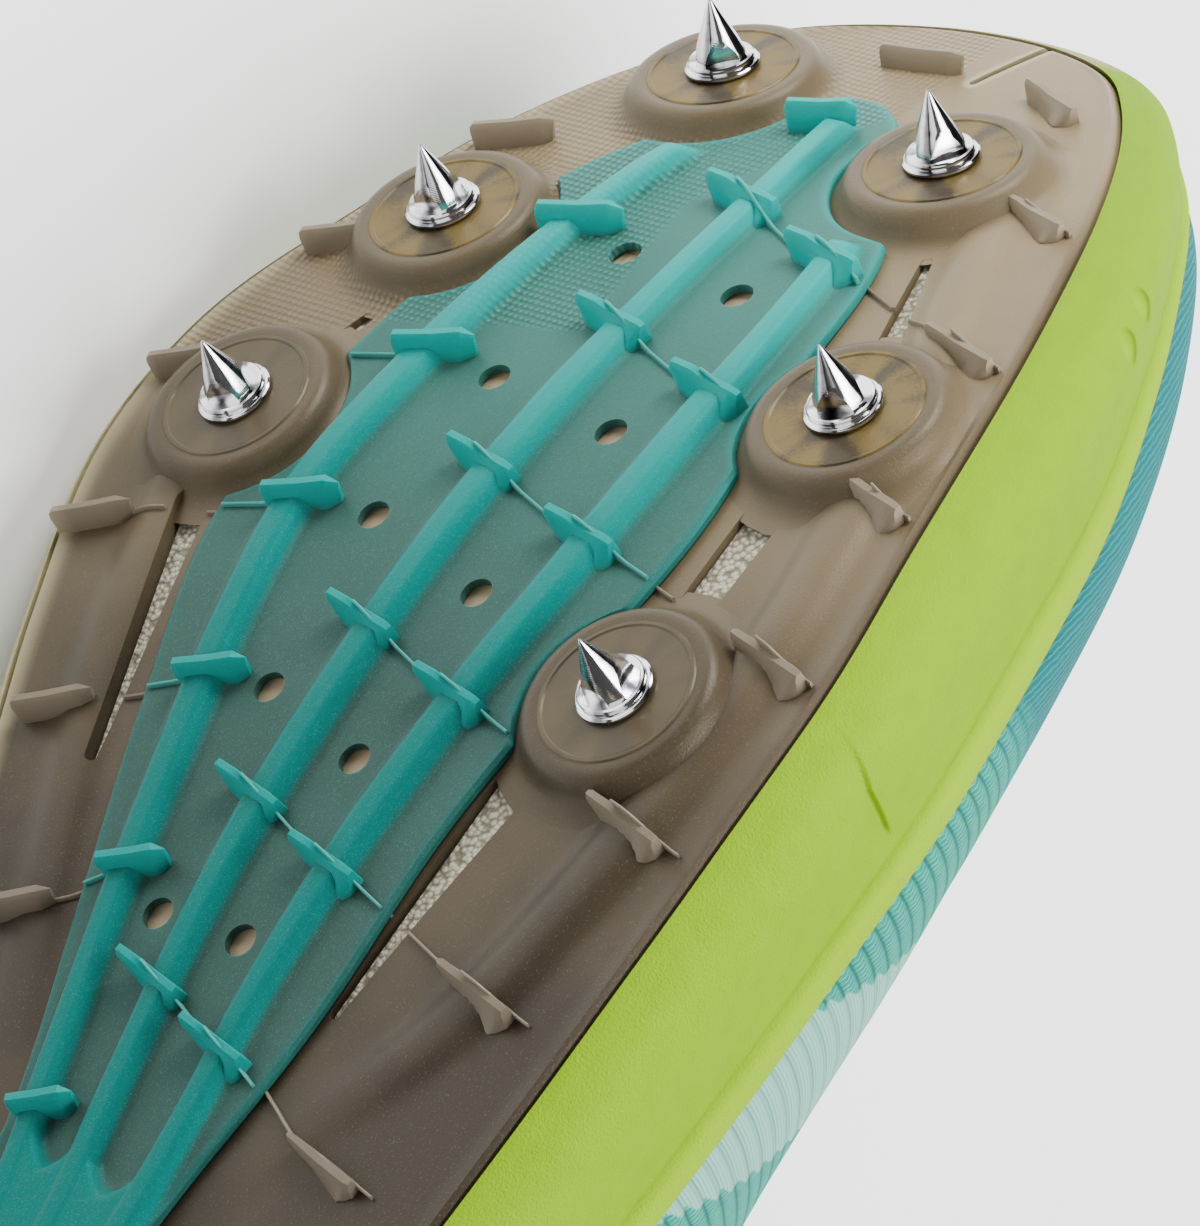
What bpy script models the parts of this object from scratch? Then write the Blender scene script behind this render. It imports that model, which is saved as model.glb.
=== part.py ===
"""Left cross country spike, lying on its medial side.

Hollow upper, tongue, lace, insole, foam midsole, plate with six spike seats, ribbed traction plate and six
screw-in spikes. Blender units are metres, +Z up.

The shoe is worked out in its own frame, in millimetres: x from heel to toe, y to the lateral side, z up, with
z = 0 on the ground side of the plate under the ball of the foot. The last function lays it on the floor.
"""

import math
from collections import namedtuple

import bmesh
import bpy
import numpy as np
from mathutils import Matrix, Vector

MM = 0.001
GAP = 0.3

# Stations along one side of an outline, and rows from the sole edge to the top of the upper
SIDE_STATIONS = 34
WALL_ROWS = 7

# Plate outline: the two edges of the plate at stations from the heel tip to the toe tip
OutlineRow = namedtuple("OutlineRow", "station medial lateral")
PLATE_OUTLINE = [
    OutlineRow(4.0, 3.0, 3.0),
    OutlineRow(8.0, -11.0, 16.5),
    OutlineRow(20.0, -22.5, 27.0),
    OutlineRow(45.0, -28.5, 33.8),
    OutlineRow(80.0, -26.5, 37.0),
    OutlineRow(115.0, -23.5, 41.0),
    OutlineRow(145.0, -25.0, 45.0),
    OutlineRow(165.0, -30.0, 47.4),
    OutlineRow(185.0, -38.5, 48.8),
    OutlineRow(205.0, -45.6, 48.8),
    OutlineRow(220.0, -46.2, 46.4),
    OutlineRow(240.0, -41.0, 41.8),
    OutlineRow(258.0, -35.8, 35.2),
    OutlineRow(272.0, -29.4, 27.6),
    OutlineRow(281.0, -21.8, 20.4),
    OutlineRow(286.5, -10.5, 13.0),
    OutlineRow(288.4, 2.0, 2.0),
]

# Sole along its length: ground side of the plate, height of plate and foam together, flare of the sidewall
SoleRow = namedtuple("SoleRow", "station bottom stack flare")
SOLE = [
    SoleRow(-10.0, 20.0, 18.0, 1.1),
    SoleRow(0.0, 14.0, 20.0, 1.1),
    SoleRow(20.0, 8.0, 23.0, 1.15),
    SoleRow(45.0, 5.5, 24.0, 1.15),
    SoleRow(80.0, 6.5, 22.5, 1.0),
    SoleRow(115.0, 6.5, 20.8, 0.8),
    SoleRow(145.0, 3.8, 20.2, 0.9),
    SoleRow(175.0, 0.9, 21.2, 0.9),
    SoleRow(200.0, 0.0, 21.6, 0.9),
    SoleRow(225.0, 1.6, 22.2, 0.9),
    SoleRow(240.0, 4.2, 21.0, 1.0),
    SoleRow(255.0, 8.0, 17.9, 1.0),
    SoleRow(270.0, 13.2, 14.6, 0.9),
    SoleRow(288.0, 21.0, 13.2, 0.7),
    SoleRow(310.0, 34.0, 13.0, 0.7),
]

# Sidewall of the foam: how far out from the plate's edge, at which share of the stack
SideRow = namedtuple("SideRow", "out share")
SIDEWALL = [
    SideRow(1.2, 0.03),
    SideRow(3.4, 0.14),
    SideRow(4.6, 0.30),
    SideRow(4.2, 0.50),
    SideRow(3.2, 0.68),
    SideRow(2.7, 0.77),
    SideRow(2.0, 0.80),
    SideRow(2.7, 0.84),
    SideRow(2.6, 0.95),
    SideRow(1.8, 1.00),
]
PLATE_THICK = 1.8
PLATE_CHAMFER = 0.6

# Upper: for a station of the sole edge, where its wall ends above and how it gets there
UPPER_OUT = 0.8
UPPER_WALL = 1.6
THROAT_FRONT = 205.0
TopRow = namedtuple("TopRow", "station top axis gap height lean rise bulge")
TOP_LINE = [
    TopRow(4.0, 9.5, 3.0, 0.0, 97.0, 84.0, 0.42, 1.5),
    TopRow(8.0, 12.0, 3.0, 10.5, 96.0, 84.0, 0.42, 1.4),
    TopRow(20.0, 22.0, 3.0, 19.5, 91.5, 83.0, 0.38, 0.8),
    TopRow(45.0, 45.0, 3.2, 26.0, 82.5, 82.0, 0.36, 0.4),
    TopRow(75.0, 73.0, 3.6, 28.5, 78.5, 80.0, 0.36, 0.4),
    TopRow(100.0, 95.0, 3.4, 26.0, 81.5, 66.0, 0.34, 0.8),
    TopRow(118.0, 113.0, 3.0, 18.5, 86.5, 46.0, 0.30, 1.2),
    TopRow(130.0, 126.0, 2.4, 13.5, 82.5, 34.0, 0.26, 1.2),
    TopRow(150.0, 147.0, 1.5, 11.0, 75.5, 28.0, 0.21, 1.0),
    TopRow(175.0, 173.0, 0.5, 9.0, 68.5, 22.0, 0.17, 1.0),
    TopRow(198.0, 197.0, -0.5, 5.5, 63.0, 12.0, 0.20, 1.2),
    TopRow(206.0, 205.0, -1.0, 0.0, 61.0, 0.0, 0.21, 1.3),
    TopRow(230.0, 227.0, -2.5, 0.0, 56.5, 0.0, 0.26, 1.5),
    TopRow(255.0, 249.0, -4.0, 0.0, 52.0, 0.0, 0.32, 1.6),
    TopRow(272.0, 263.0, -5.0, 0.0, 49.3, 0.0, 0.38, 1.6),
    TopRow(283.0, 272.0, -5.0, 0.0, 48.0, 0.0, 0.42, 1.8),
    TopRow(288.4, 277.0, -3.5, 0.0, 47.0, 0.0, 0.45, 1.8),
]

# Insole, tongue and lace
INSOLE_IN = 1.6
INSOLE_THICK = 3.0
TONGUE_FRONT = 214.0
TONGUE_BACK = 122.0
TONGUE_SECTIONS = 8
TONGUE_POINTS = 9
TONGUE_OVERLAP = 9.0
TONGUE_THICK = 2.4
TONGUE_LIFT = 22.0
TONGUE_UNDER = 1.4
EYELET_ROWS = 6
EYELET_FRONT = 194.0
EYELET_PITCH = 13.8
EYELET_IN = 6.0
EYELET_RADIUS = 2.1
LACE_WIDTH = 4.0
LACE_THICK = 1.2
LACE_POINTS = 7
LACE_OVER = 1.0
LACE_SPLAY = 0.19
LACE_BAR_ROW = -0.18
LACE_HUMP = 0.5

# Spikes: where each stands on the plate
SpikeRow = namedtuple("SpikeRow", "letter x y")
SPIKES = [
    SpikeRow("a", 212.2, -31.2),
    SpikeRow("b", 240.1, -28.4),
    SpikeRow("c", 268.6, -18.1),
    SpikeRow("d", 263.2, 15.2),
    SpikeRow("e", 230.4, 31.7),
    SpikeRow("f", 196.0, 31.8),
]
ROUND_SIDES = 10
BOSS_BASE_RADIUS = 10.2
BOSS_TOP_RADIUS = 8.9
BOSS_HEIGHT = 3.0
SEAT_RADIUS = 7.7
SEAT_THICK = 1.2
HUB_RADIUS = 3.7
HUB_DEPTH = 2.2
STUD_RADIUS = 2.0
STUD_LENGTH = 2.6

# Turned profile of a spike above its stud: radius at a height over the flange's seat
TurnRow = namedtuple("TurnRow", "radius height")
SPIKE_PROFILE = [
    TurnRow(4.0, 0.0),
    TurnRow(4.0, 0.9),
    TurnRow(3.0, 1.5),
    TurnRow(2.4, 2.0),
    TurnRow(0.25, 7.5),
]

# Slots through the plate, from their front end to their back end
SlotRow = namedtuple("SlotRow", "front_x front_y front_width back_x back_y back_width")
SLOTS = [
    SlotRow(252.5, 22.0, 1.2, 241.0, 27.0, 2.6),
    SlotRow(219.0, 30.2, 4.4, 207.6, 30.6, 4.0),
    SlotRow(187.0, 25.6, 4.6, 160.5, 22.6, 1.2),
    SlotRow(201.0, -29.2, 4.4, 174.0, -20.0, 1.2),
    SlotRow(229.2, -27.4, 2.2, 223.6, -28.8, 2.2),
    SlotRow(292.0, 6.2, 1.2, 279.5, 3.7, 0.8),
]

# Traction plate: outline, ribs and holes
TRACTION_OUTLINE = [
    OutlineRow(100.0, 8.0, 8.0),
    OutlineRow(106.0, 2.5, 13.0),
    OutlineRow(122.0, -1.0, 17.0),
    OutlineRow(140.0, -3.2, 19.0),
    OutlineRow(160.0, -10.2, 22.0),
    OutlineRow(180.0, -18.0, 22.5),
    OutlineRow(200.0, -25.2, 25.0),
    OutlineRow(215.0, -26.0, 25.8),
    OutlineRow(232.0, -24.6, 22.5),
    OutlineRow(250.0, -22.4, 18.5),
    OutlineRow(262.0, -15.4, 9.5),
    OutlineRow(268.5, -8.5, 4.5),
    OutlineRow(271.5, -2.5, -2.5),
]
TRACTION_STATIONS = 16
TRACTION_THICK = 0.9
SCALLOP_RADIUS = 10.9
RibRow = namedtuple("RibRow", "station medial middle lateral")
RIBS = [
    RibRow(134.0, 0.5, 8.0, 14.0),
    RibRow(145.0, -3.0, 5.6, 13.4),
    RibRow(158.0, -6.8, 2.4, 13.3),
    RibRow(173.0, -11.0, 0.6, 14.0),
    RibRow(190.0, -15.6, 1.0, 15.2),
    RibRow(205.0, -17.8, 0.8, 15.8),
    RibRow(222.0, -16.2, 0.0, 15.2),
    RibRow(240.0, -15.2, -0.8, 14.2),
    RibRow(253.0, -13.2, -1.2, 12.0),
    RibRow(268.0, -9.0, -1.6, 9.0),
]
RIB_BACK = 126.0
RIB_FRONT = {"medial": 260.0, "middle": 266.0, "lateral": 253.0}
RIB_STEP = 16.0
RIB_SECTION = [(-2.1, -0.4), (-1.5, 1.1), (0.0, 1.6), (1.5, 1.1), (2.1, -0.4)]
HUB_PAD_X = 124.0
HUB_PAD_Y = 8.0
HUB_PAD_LENGTH = 26.0
HUB_PAD_WIDTH = 17.0
RIB_HEIGHT = 1.5
HOLE_RADIUS = 1.6
HOLE_FRONT = 242.5
HOLE_PITCH = 19.7
HOLE_COUNT = 5

# Fins stand in lines from front to back, on the ribs and along the edges of the plate
FIN_WIDTH = 2.2
FIN_CREST = 0.9
FIN_BEVEL = 1.6
FinLine = namedtuple("FinLine", "name front count pitch length turn inset drift")
RIB_FINS = [
    FinLine("medial", 245.4, 6, 19.95, 9.2, 18.0, 0.0, 0.0),
    FinLine("middle", 251.5, 6, 19.05, 11.5, -14.0, 0.0, 0.0),
    FinLine("lateral", 247.4, 6, 18.85, 11.2, -13.0, 0.0, 0.0),
]
RIB_FIN_HEIGHT = 3.9
FRONT_FIN = (265.5, -2.4, 7.0, 20.0)
EDGE_FINS = [
    FinLine("medial", 253.6, 6, 19.1, 8.0, 28.0, 4.6, 3.2),
    FinLine("lateral", 261.1, 7, 18.9, 10.5, -14.0, 6.0, 2.6),
]
EDGE_FIN_STRAIGHT = 4
EDGE_FIN_HEIGHT = 2.8
TOE_FINS = [(279.7, -3.0, 9.5, 10.0), (278.0, 15.2, 9.5, -20.0)]

# Surfaces and densities in grams per cubic centimetre
Surface = namedtuple("Surface", "name colour roughness metallic density")
FOAM = Surface("lime_foam", (0.58, 1.0, 0.03), 0.75, 0.0, 0.14)
PLATE = Surface("grey_plate", (0.22, 0.18, 0.14), 0.4, 0.0, 1.10)
TRACTION = Surface("teal_plate", (0.0, 0.45, 0.40), 0.45, 0.0, 1.10)
KNIT = Surface("teal_knit", (0.10, 0.60, 0.56), 0.85, 0.0, 0.45)
PADDING = Surface("tongue_fabric", (0.45, 0.80, 0.74), 0.9, 0.0, 0.30)
LACE = Surface("lace_fabric", (0.75, 0.90, 0.86), 0.9, 0.0, 0.80)
SOCK = Surface("insole_fabric", (0.70, 0.78, 0.74), 0.95, 0.0, 0.20)
BRASS = Surface("brass_seat", (0.55, 0.38, 0.14), 0.35, 1.0, 8.4)
CHROME = Surface("chrome_spike", (0.85, 0.85, 0.86), 0.08, 1.0, 7.8)


# Curves through the tables

def curve(rows, column, key=None):
    """Smooth curve through one column of a table, read by station or by another key."""
    keys = np.array([key(row.station) if key else row.station for row in rows], dtype=float)
    values = np.array([getattr(row, column) for row in rows], dtype=float)
    slopes = np.gradient(values, keys)

    def read(place):
        place = min(max(place, keys[0]), keys[-1])
        i = int(min(max(np.searchsorted(keys, place) - 1, 0), len(keys) - 2))
        span = keys[i + 1] - keys[i]
        t = (place - keys[i]) / span
        return ((2 * t**3 - 3 * t**2 + 1) * values[i] + (t**3 - 2 * t**2 + t) * span * slopes[i]
                + (3 * t**2 - 2 * t**3) * values[i + 1] + (t**3 - t**2) * span * slopes[i + 1])
    return read


class Outline:
    """Closed plan outline with round ends, read by a share s from its heel tip (0) to its toe tip (1)."""

    def __init__(self, rows):
        self.back = rows[0].station
        self.front = rows[-1].station
        self.edges = {1: curve(rows, "lateral", self.share), -1: curve(rows, "medial", self.share)}

    def share(self, station):
        along = (station - self.back) / (self.front - self.back)
        return math.acos(1.0 - 2.0 * min(max(along, 0.0), 1.0)) / math.pi

    def station(self, s):
        return self.back + (self.front - self.back) * (1.0 - math.cos(math.pi * s)) / 2.0

    def point(self, s, side):
        return np.array([self.station(s), self.edges[side](s)])

    def normal(self, s, side):
        """Outward direction in plan; both sides agree at the two tips."""
        step = 0.004
        if s < step:
            return np.array([-1.0, 0.0])
        if s > 1.0 - step:
            return np.array([1.0, 0.0])
        along = self.point(s + step, side) - self.point(s - step, side)
        out = np.array([-along[1], along[0]]) * side
        return out / np.linalg.norm(out)

    def places(self, count):
        """Shares and sides in order round the outline: toe, lateral side, heel, medial side."""
        lateral = [(1.0 - i / count, 1) for i in range(count + 1)]
        medial = [(i / count, -1) for i in range(1, count)]
        return lateral + medial


plate_outline = Outline(PLATE_OUTLINE)
traction_outline = Outline(TRACTION_OUTLINE)
sole_bottom = curve(SOLE, "bottom")
sole_stack = curve(SOLE, "stack")
sole_flare = curve(SOLE, "flare")
top_column = {name: curve(TOP_LINE, name, plate_outline.share) for name in TopRow._fields[1:]}
rib_line = {name: curve(RIBS, name) for name in ("medial", "middle", "lateral")}


def sole_top(x):
    return sole_bottom(x) + sole_stack(x)


def ground_frame(x, y):
    """Point on the ground side of the plate and the direction out of it."""
    slope = math.atan((sole_bottom(x + 0.5) - sole_bottom(x - 0.5)))
    return np.array([x, y, sole_bottom(x)]), np.array([math.sin(slope), 0.0, -math.cos(slope)])


# Mesh helpers

def material(surface):
    found = bpy.data.materials.get(surface.name)
    if found:
        return found
    made = bpy.data.materials.new(surface.name)
    made.use_nodes = True
    shader = made.node_tree.nodes["Principled BSDF"]
    shader.inputs["Base Color"].default_value = (*surface.colour, 1.0)
    shader.inputs["Roughness"].default_value = surface.roughness
    shader.inputs["Metallic"].default_value = surface.metallic
    return made


def solid(name, points, faces, surface):
    """Closed solid from points in millimetres, with its faces turned outwards."""
    mesh = bpy.data.meshes.new(name)
    mesh.from_pydata([tuple(float(c) * MM for c in p) for p in points], [], faces)
    shape = bmesh.new()
    shape.from_mesh(mesh)
    bmesh.ops.recalc_face_normals(shape, faces=shape.faces)
    bmesh.ops.triangulate(shape, faces=[f for f in shape.faces if len(f.verts) == 4])
    shape.to_mesh(mesh)
    shape.free()
    mesh.materials.append(material(surface))
    made = bpy.data.objects.new(name, mesh)
    bpy.context.collection.objects.link(made)
    return made


def bodies(name, shapes, surface):
    """Several separate closed shapes in one object, used as a tool for a Boolean."""
    points, faces = [], []
    for shape_points, shape_faces in shapes:
        base = len(points)
        points.extend(shape_points)
        faces.extend([tuple(base + i for i in face) for face in shape_faces])
    made = solid(name, points, faces, surface)
    made.hide_render = True
    made.display_type = "WIRE"
    return made


def combine(target, tool, operation):
    cut = target.modifiers.new(tool.name, "BOOLEAN")
    cut.operation = operation
    cut.solver = "EXACT"
    cut.object = tool


def ring_faces(rings, size):
    """Faces between rings of equal size, closed by a ladder across the first and the last ring."""
    faces = []
    for r in range(rings - 1):
        for i in range(size):
            j = (i + 1) % size
            faces.append((r * size + i, r * size + j, (r + 1) * size + j, (r + 1) * size + i))
    for base in (0, (rings - 1) * size):
        for i in range(size // 2):
            quad = [base + i, base + i + 1, base + (size - i - 1) % size, base + (size - i) % size]
            faces.append(tuple(dict.fromkeys(quad)))
    return faces


def outline_ring(outline, count, out, height):
    """Ring round an outline, moved out in plan, at a height given by station."""
    ring = []
    for s, side in outline.places(count):
        place = outline.point(s, side)
        shift = out(place[0]) if callable(out) else out
        place = place + outline.normal(s, side) * shift
        ring.append((place[0], place[1], height(place[0])))
    return ring


def tube_faces(sections, size):
    """Faces of a bar with flat ends, from sections of equal size."""
    faces = [tuple(range(size)), tuple(range((sections - 1) * size, sections * size))]
    for r in range(sections - 1):
        for i in range(size):
            j = (i + 1) % size
            faces.append((r * size + i, r * size + j, (r + 1) * size + j, (r + 1) * size + i))
    return faces


def turned(profile, x, y, lift=0.0, sides=ROUND_SIDES):
    """Round shape on the plate at x, y from pairs of radius and height out of the plate."""
    base, out = ground_frame(x, y)
    across = np.array([0.0, 1.0, 0.0])
    along = np.cross(across, out)
    points = []
    for radius, height in profile:
        for k in range(sides):
            angle = 2.0 * math.pi * k / sides
            spoke = along * math.cos(angle) + across * math.sin(angle)
            points.append(base + out * (height + lift) + spoke * radius)
    return points, tube_faces(len(profile), sides)


def fin(x, y, length, turn, height, sink):
    """Blade with sloping sides and ends; turn is the lean of its line in plan, in degrees."""
    base, out = ground_frame(x, y)
    lean = math.radians(turn)
    line = np.array([math.sin(lean), math.cos(lean), 0.0])
    line[2] = (sole_bottom(x + line[0]) - sole_bottom(x - line[0])) / 2.0
    line /= np.linalg.norm(line)
    thick = np.cross(out, line)
    points = []
    for level, half_length, half_width in ((-sink, length / 2, FIN_WIDTH / 2),
                                           (height, length / 2 - FIN_BEVEL, FIN_CREST / 2)):
        for a, b in ((-1, -1), (1, -1), (1, 1), (-1, 1)):
            points.append(base + out * level + line * a * half_length + thick * b * half_width)
    return points, tube_faces(2, 4)


# Sole

def build_midsole():
    rings = [outline_ring(plate_outline, SIDE_STATIONS, GAP + 0.05,
                          lambda x: sole_bottom(x) + PLATE_THICK + GAP),
             outline_ring(plate_outline, SIDE_STATIONS, GAP + 0.05, lambda x: sole_bottom(x) + 0.1)]
    for row in SIDEWALL:
        rings.append(outline_ring(plate_outline, SIDE_STATIONS, lambda x: row.out * sole_flare(x),
                                  lambda x: sole_bottom(x) + row.share * sole_stack(x)))
    points = [p for ring in rings for p in ring]
    return solid("midsole", points, ring_faces(len(rings), 2 * SIDE_STATIONS), FOAM)


def build_insole():
    rings = []
    for inset, lift in ((0.4, 0.0), (0.0, 0.8), (0.0, INSOLE_THICK - 0.8), (0.5, INSOLE_THICK)):
        rings.append(outline_ring(plate_outline, SIDE_STATIONS, -INSOLE_IN - inset,
                                  lambda x: sole_top(x) + GAP + lift))
    points = [p for ring in rings for p in ring]
    return solid("insole", points, ring_faces(len(rings), 2 * SIDE_STATIONS), SOCK)


def slot_shape(row):
    """Tapered cutter through the plate."""
    points = []
    way = np.array([row.front_x - row.back_x, row.front_y - row.back_y])
    across = np.array([-way[1], way[0]]) / np.linalg.norm(way)
    depth = PLATE_THICK + 4.0
    for end_x, end_y, width in ((row.back_x, row.back_y, row.back_width),
                                (row.front_x, row.front_y, row.front_width)):
        base, out = ground_frame(end_x, end_y)
        for level in (2.0, -depth):
            for sign in (-1, 1):
                side = np.array([*(across * sign * width / 2), 0.0])
                points.append(base + out * level + side)
    order = [0, 1, 3, 2, 4, 5, 7, 6]
    return [points[i] for i in order], tube_faces(2, 4)


def edge_fins():
    """Fins along both edges of the plate and the two at the toe; the last of a line drift in from the edge."""
    shapes = []
    for line in EDGE_FINS:
        side = 1 if line.name == "lateral" else -1
        for row in range(line.count):
            x = line.front - line.pitch * row
            edge = plate_outline.point(plate_outline.share(x), side)[1]
            inset = line.inset + line.drift * max(row + 1 - EDGE_FIN_STRAIGHT, 0)
            shapes.append(fin(x, edge - side * inset, line.length, line.turn, EDGE_FIN_HEIGHT, 0.8))
    for x, y, length, turn in TOE_FINS:
        shapes.append(fin(x, y, length, turn, EDGE_FIN_HEIGHT, 0.8))
    return shapes


def build_plate():
    rings = [outline_ring(plate_outline, SIDE_STATIONS, -PLATE_CHAMFER, sole_bottom),
             outline_ring(plate_outline, SIDE_STATIONS, 0.0, lambda x: sole_bottom(x) + PLATE_CHAMFER),
             outline_ring(plate_outline, SIDE_STATIONS, 0.0, lambda x: sole_bottom(x) + PLATE_THICK)]
    points = [p for ring in rings for p in ring]
    plate = solid("outsole_plate", points, ring_faces(3, 2 * SIDE_STATIONS), PLATE)
    bosses = [turned([(BOSS_BASE_RADIUS + 0.4, -0.8), (BOSS_BASE_RADIUS, 0.0), (BOSS_TOP_RADIUS, BOSS_HEIGHT)],
                     s.x, s.y) for s in SPIKES]
    combine(plate, bodies("boss_tool", bosses, PLATE), "UNION")
    combine(plate, bodies("edge_fin_tool", edge_fins(), PLATE), "UNION")
    floor = BOSS_HEIGHT - SEAT_THICK - GAP
    pockets = [turned([(HUB_RADIUS + GAP, floor - HUB_DEPTH), (HUB_RADIUS + GAP, floor), (SEAT_RADIUS + GAP, floor),
                       (SEAT_RADIUS + GAP, BOSS_HEIGHT + 1.0)], s.x, s.y) for s in SPIKES]
    combine(plate, bodies("pocket_tool", pockets, PLATE), "DIFFERENCE")
    combine(plate, bodies("slot_tool", [slot_shape(row) for row in SLOTS], PLATE), "DIFFERENCE")
    return plate


def build_seats():
    """Metal discs with a blind bore for the stud, flush with the bosses."""
    made = []
    back = BOSS_HEIGHT - SEAT_THICK
    bore = STUD_RADIUS + GAP
    for s in SPIKES:
        profile = [(bore, BOSS_HEIGHT - STUD_LENGTH - GAP), (bore, BOSS_HEIGHT), (SEAT_RADIUS, BOSS_HEIGHT),
                   (SEAT_RADIUS, back), (HUB_RADIUS, back), (HUB_RADIUS, back - HUB_DEPTH)]
        points, faces = turned(profile, s.x, s.y)
        made.append(solid("spike_seat_" + s.letter, points, faces, BRASS))
    return made


def build_spikes():
    made = []
    profile = [(STUD_RADIUS, -STUD_LENGTH), (STUD_RADIUS, 0.0)] + [tuple(row) for row in SPIKE_PROFILE]
    for s in SPIKES:
        points, faces = turned(profile, s.x, s.y, BOSS_HEIGHT + GAP)
        made.append(solid("spike_" + s.letter, points, faces, CHROME))
    return made


def rib_shape(name):
    """Rounded rib along its line, standing out of the traction sheet."""
    face = GAP + TRACTION_THICK
    count = int(round((RIB_FRONT[name] - RIB_BACK) / RIB_STEP)) + 1
    points = []
    for x in np.linspace(RIB_BACK, RIB_FRONT[name], count):
        y = rib_line[name](x)
        base, out = ground_frame(x, y)
        turn = math.atan(rib_line[name](x + 1.0) - rib_line[name](x - 1.0)) / 2.0
        across = np.array([-math.sin(turn), math.cos(turn), 0.0])
        for offset, height in RIB_SECTION:
            points.append(base + out * (face + height) + across * offset)
    return points, tube_faces(count, len(RIB_SECTION))


def rib_fins(line):
    """Fins on one rib; the middle rib also carries the single front fin."""
    sink = -GAP - 0.6 * TRACTION_THICK
    shapes = []
    for row in range(line.count):
        x = line.front - line.pitch * row
        shapes.append(fin(x, rib_line[line.name](x), line.length, line.turn, GAP + RIB_FIN_HEIGHT, sink))
    if line.name == "middle":
        x, y, length, turn = FRONT_FIN
        shapes.append(fin(x, y, length, turn, GAP + RIB_FIN_HEIGHT, sink))
    return shapes


def hub_pad():
    """Oval pad where the three ribs run together."""
    size = 20
    points = []
    for height, grow in ((GAP + TRACTION_THICK / 2, 1.0), (GAP + TRACTION_THICK + RIB_HEIGHT - 0.1, 0.86)):
        for k in range(size):
            angle = 2.0 * math.pi * k / size
            x = HUB_PAD_X + grow * HUB_PAD_LENGTH / 2 * math.cos(angle)
            y = HUB_PAD_Y + grow * HUB_PAD_WIDTH / 2 * math.sin(angle)
            base, out = ground_frame(x, y)
            points.append(base + out * height)
    return points, tube_faces(2, size)


def build_traction():
    rings = [outline_ring(traction_outline, TRACTION_STATIONS, 0.0, lambda x: sole_bottom(x) - GAP),
             outline_ring(traction_outline, TRACTION_STATIONS, 0.0,
                          lambda x: sole_bottom(x) - GAP - TRACTION_THICK * 0.6),
             outline_ring(traction_outline, TRACTION_STATIONS, -0.5,
                          lambda x: sole_bottom(x) - GAP - TRACTION_THICK)]
    points = [p for ring in rings for p in ring]
    sheet = solid("traction_plate", points, ring_faces(3, 2 * TRACTION_STATIONS), TRACTION)
    cuts = [turned([(SCALLOP_RADIUS, -3.0), (SCALLOP_RADIUS, 5.0)], s.x, s.y) for s in SPIKES]
    for row in range(HOLE_COUNT):
        x = HOLE_FRONT - HOLE_PITCH * row
        for a, b in (("medial", "middle"), ("middle", "lateral")):
            y = (rib_line[a](x) + rib_line[b](x)) / 2.0
            cuts.append(turned([(HOLE_RADIUS, -3.0), (HOLE_RADIUS, 5.0)], x, y, sides=8))
    combine(sheet, bodies("scallop_tool", cuts, TRACTION), "DIFFERENCE")
    for name in rib_line:
        combine(sheet, bodies("rib_tool_" + name, [rib_shape(name)], TRACTION), "UNION")
    combine(sheet, bodies("hub_tool", [hub_pad()], TRACTION), "UNION")
    for line in RIB_FINS:
        combine(sheet, bodies("rib_fin_tool_" + line.name, rib_fins(line), TRACTION), "UNION")
    return sheet


# Upper

def throat_gap(s):
    """Half width of the opening; nothing in front of the throat."""
    return 0.0 if plate_outline.station(s) >= THROAT_FRONT else max(top_column["gap"](s), 0.0)


def wall_point(s, side, v):
    """Point on the outside of the upper: v runs from the sole edge (0) to ridge, throat or collar (1)."""
    edge = plate_outline.point(s, side)
    out = plate_outline.normal(s, side)
    foot = edge + out * UPPER_OUT * sole_flare(edge[0])
    low = np.array([foot[0], foot[1], sole_top(foot[0]) + GAP])
    top = {name: read(s) for name, read in top_column.items()}
    high = np.array([top["top"], top["axis"] + side * throat_gap(s), top["height"]])
    rise = high[2] - low[2]
    reach = np.linalg.norm((low - high)[:2])
    over = (low - high)[:2] + 6.0 * out
    over = over / np.linalg.norm(over)
    lean = math.radians(top["lean"])
    arm = 0.5 * reach * math.cos(lean) + 0.42 * rise * math.sin(lean)
    low_arm = low + np.array([*(out * top["bulge"]), rise * top["rise"]])
    high_arm = high + arm * np.array([*(over * math.cos(lean)), -math.sin(lean)])
    u = 1.0 - v
    return u**3 * low + 3 * u * u * v * low_arm + 3 * u * v * v * high_arm + v**3 * high


def wall_normal(s, side, v):
    """Direction out of the upper's wall."""
    ds, dv = 0.006, 0.01
    s = min(max(s, ds), 1.0 - ds)
    v = min(max(v, dv), 1.0 - dv)
    along = wall_point(s + ds, side, v) - wall_point(s - ds, side, v)
    up = wall_point(s, side, v + dv) - wall_point(s, side, v - dv)
    out = np.cross(up, along) * side
    return out / np.linalg.norm(out)


def ridge_normal(s, v):
    """Direction out of the wall where the two sides meet along the middle of the toe."""
    both = wall_normal(s, 1, v) + wall_normal(s, -1, v)
    return both / np.linalg.norm(both)


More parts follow.
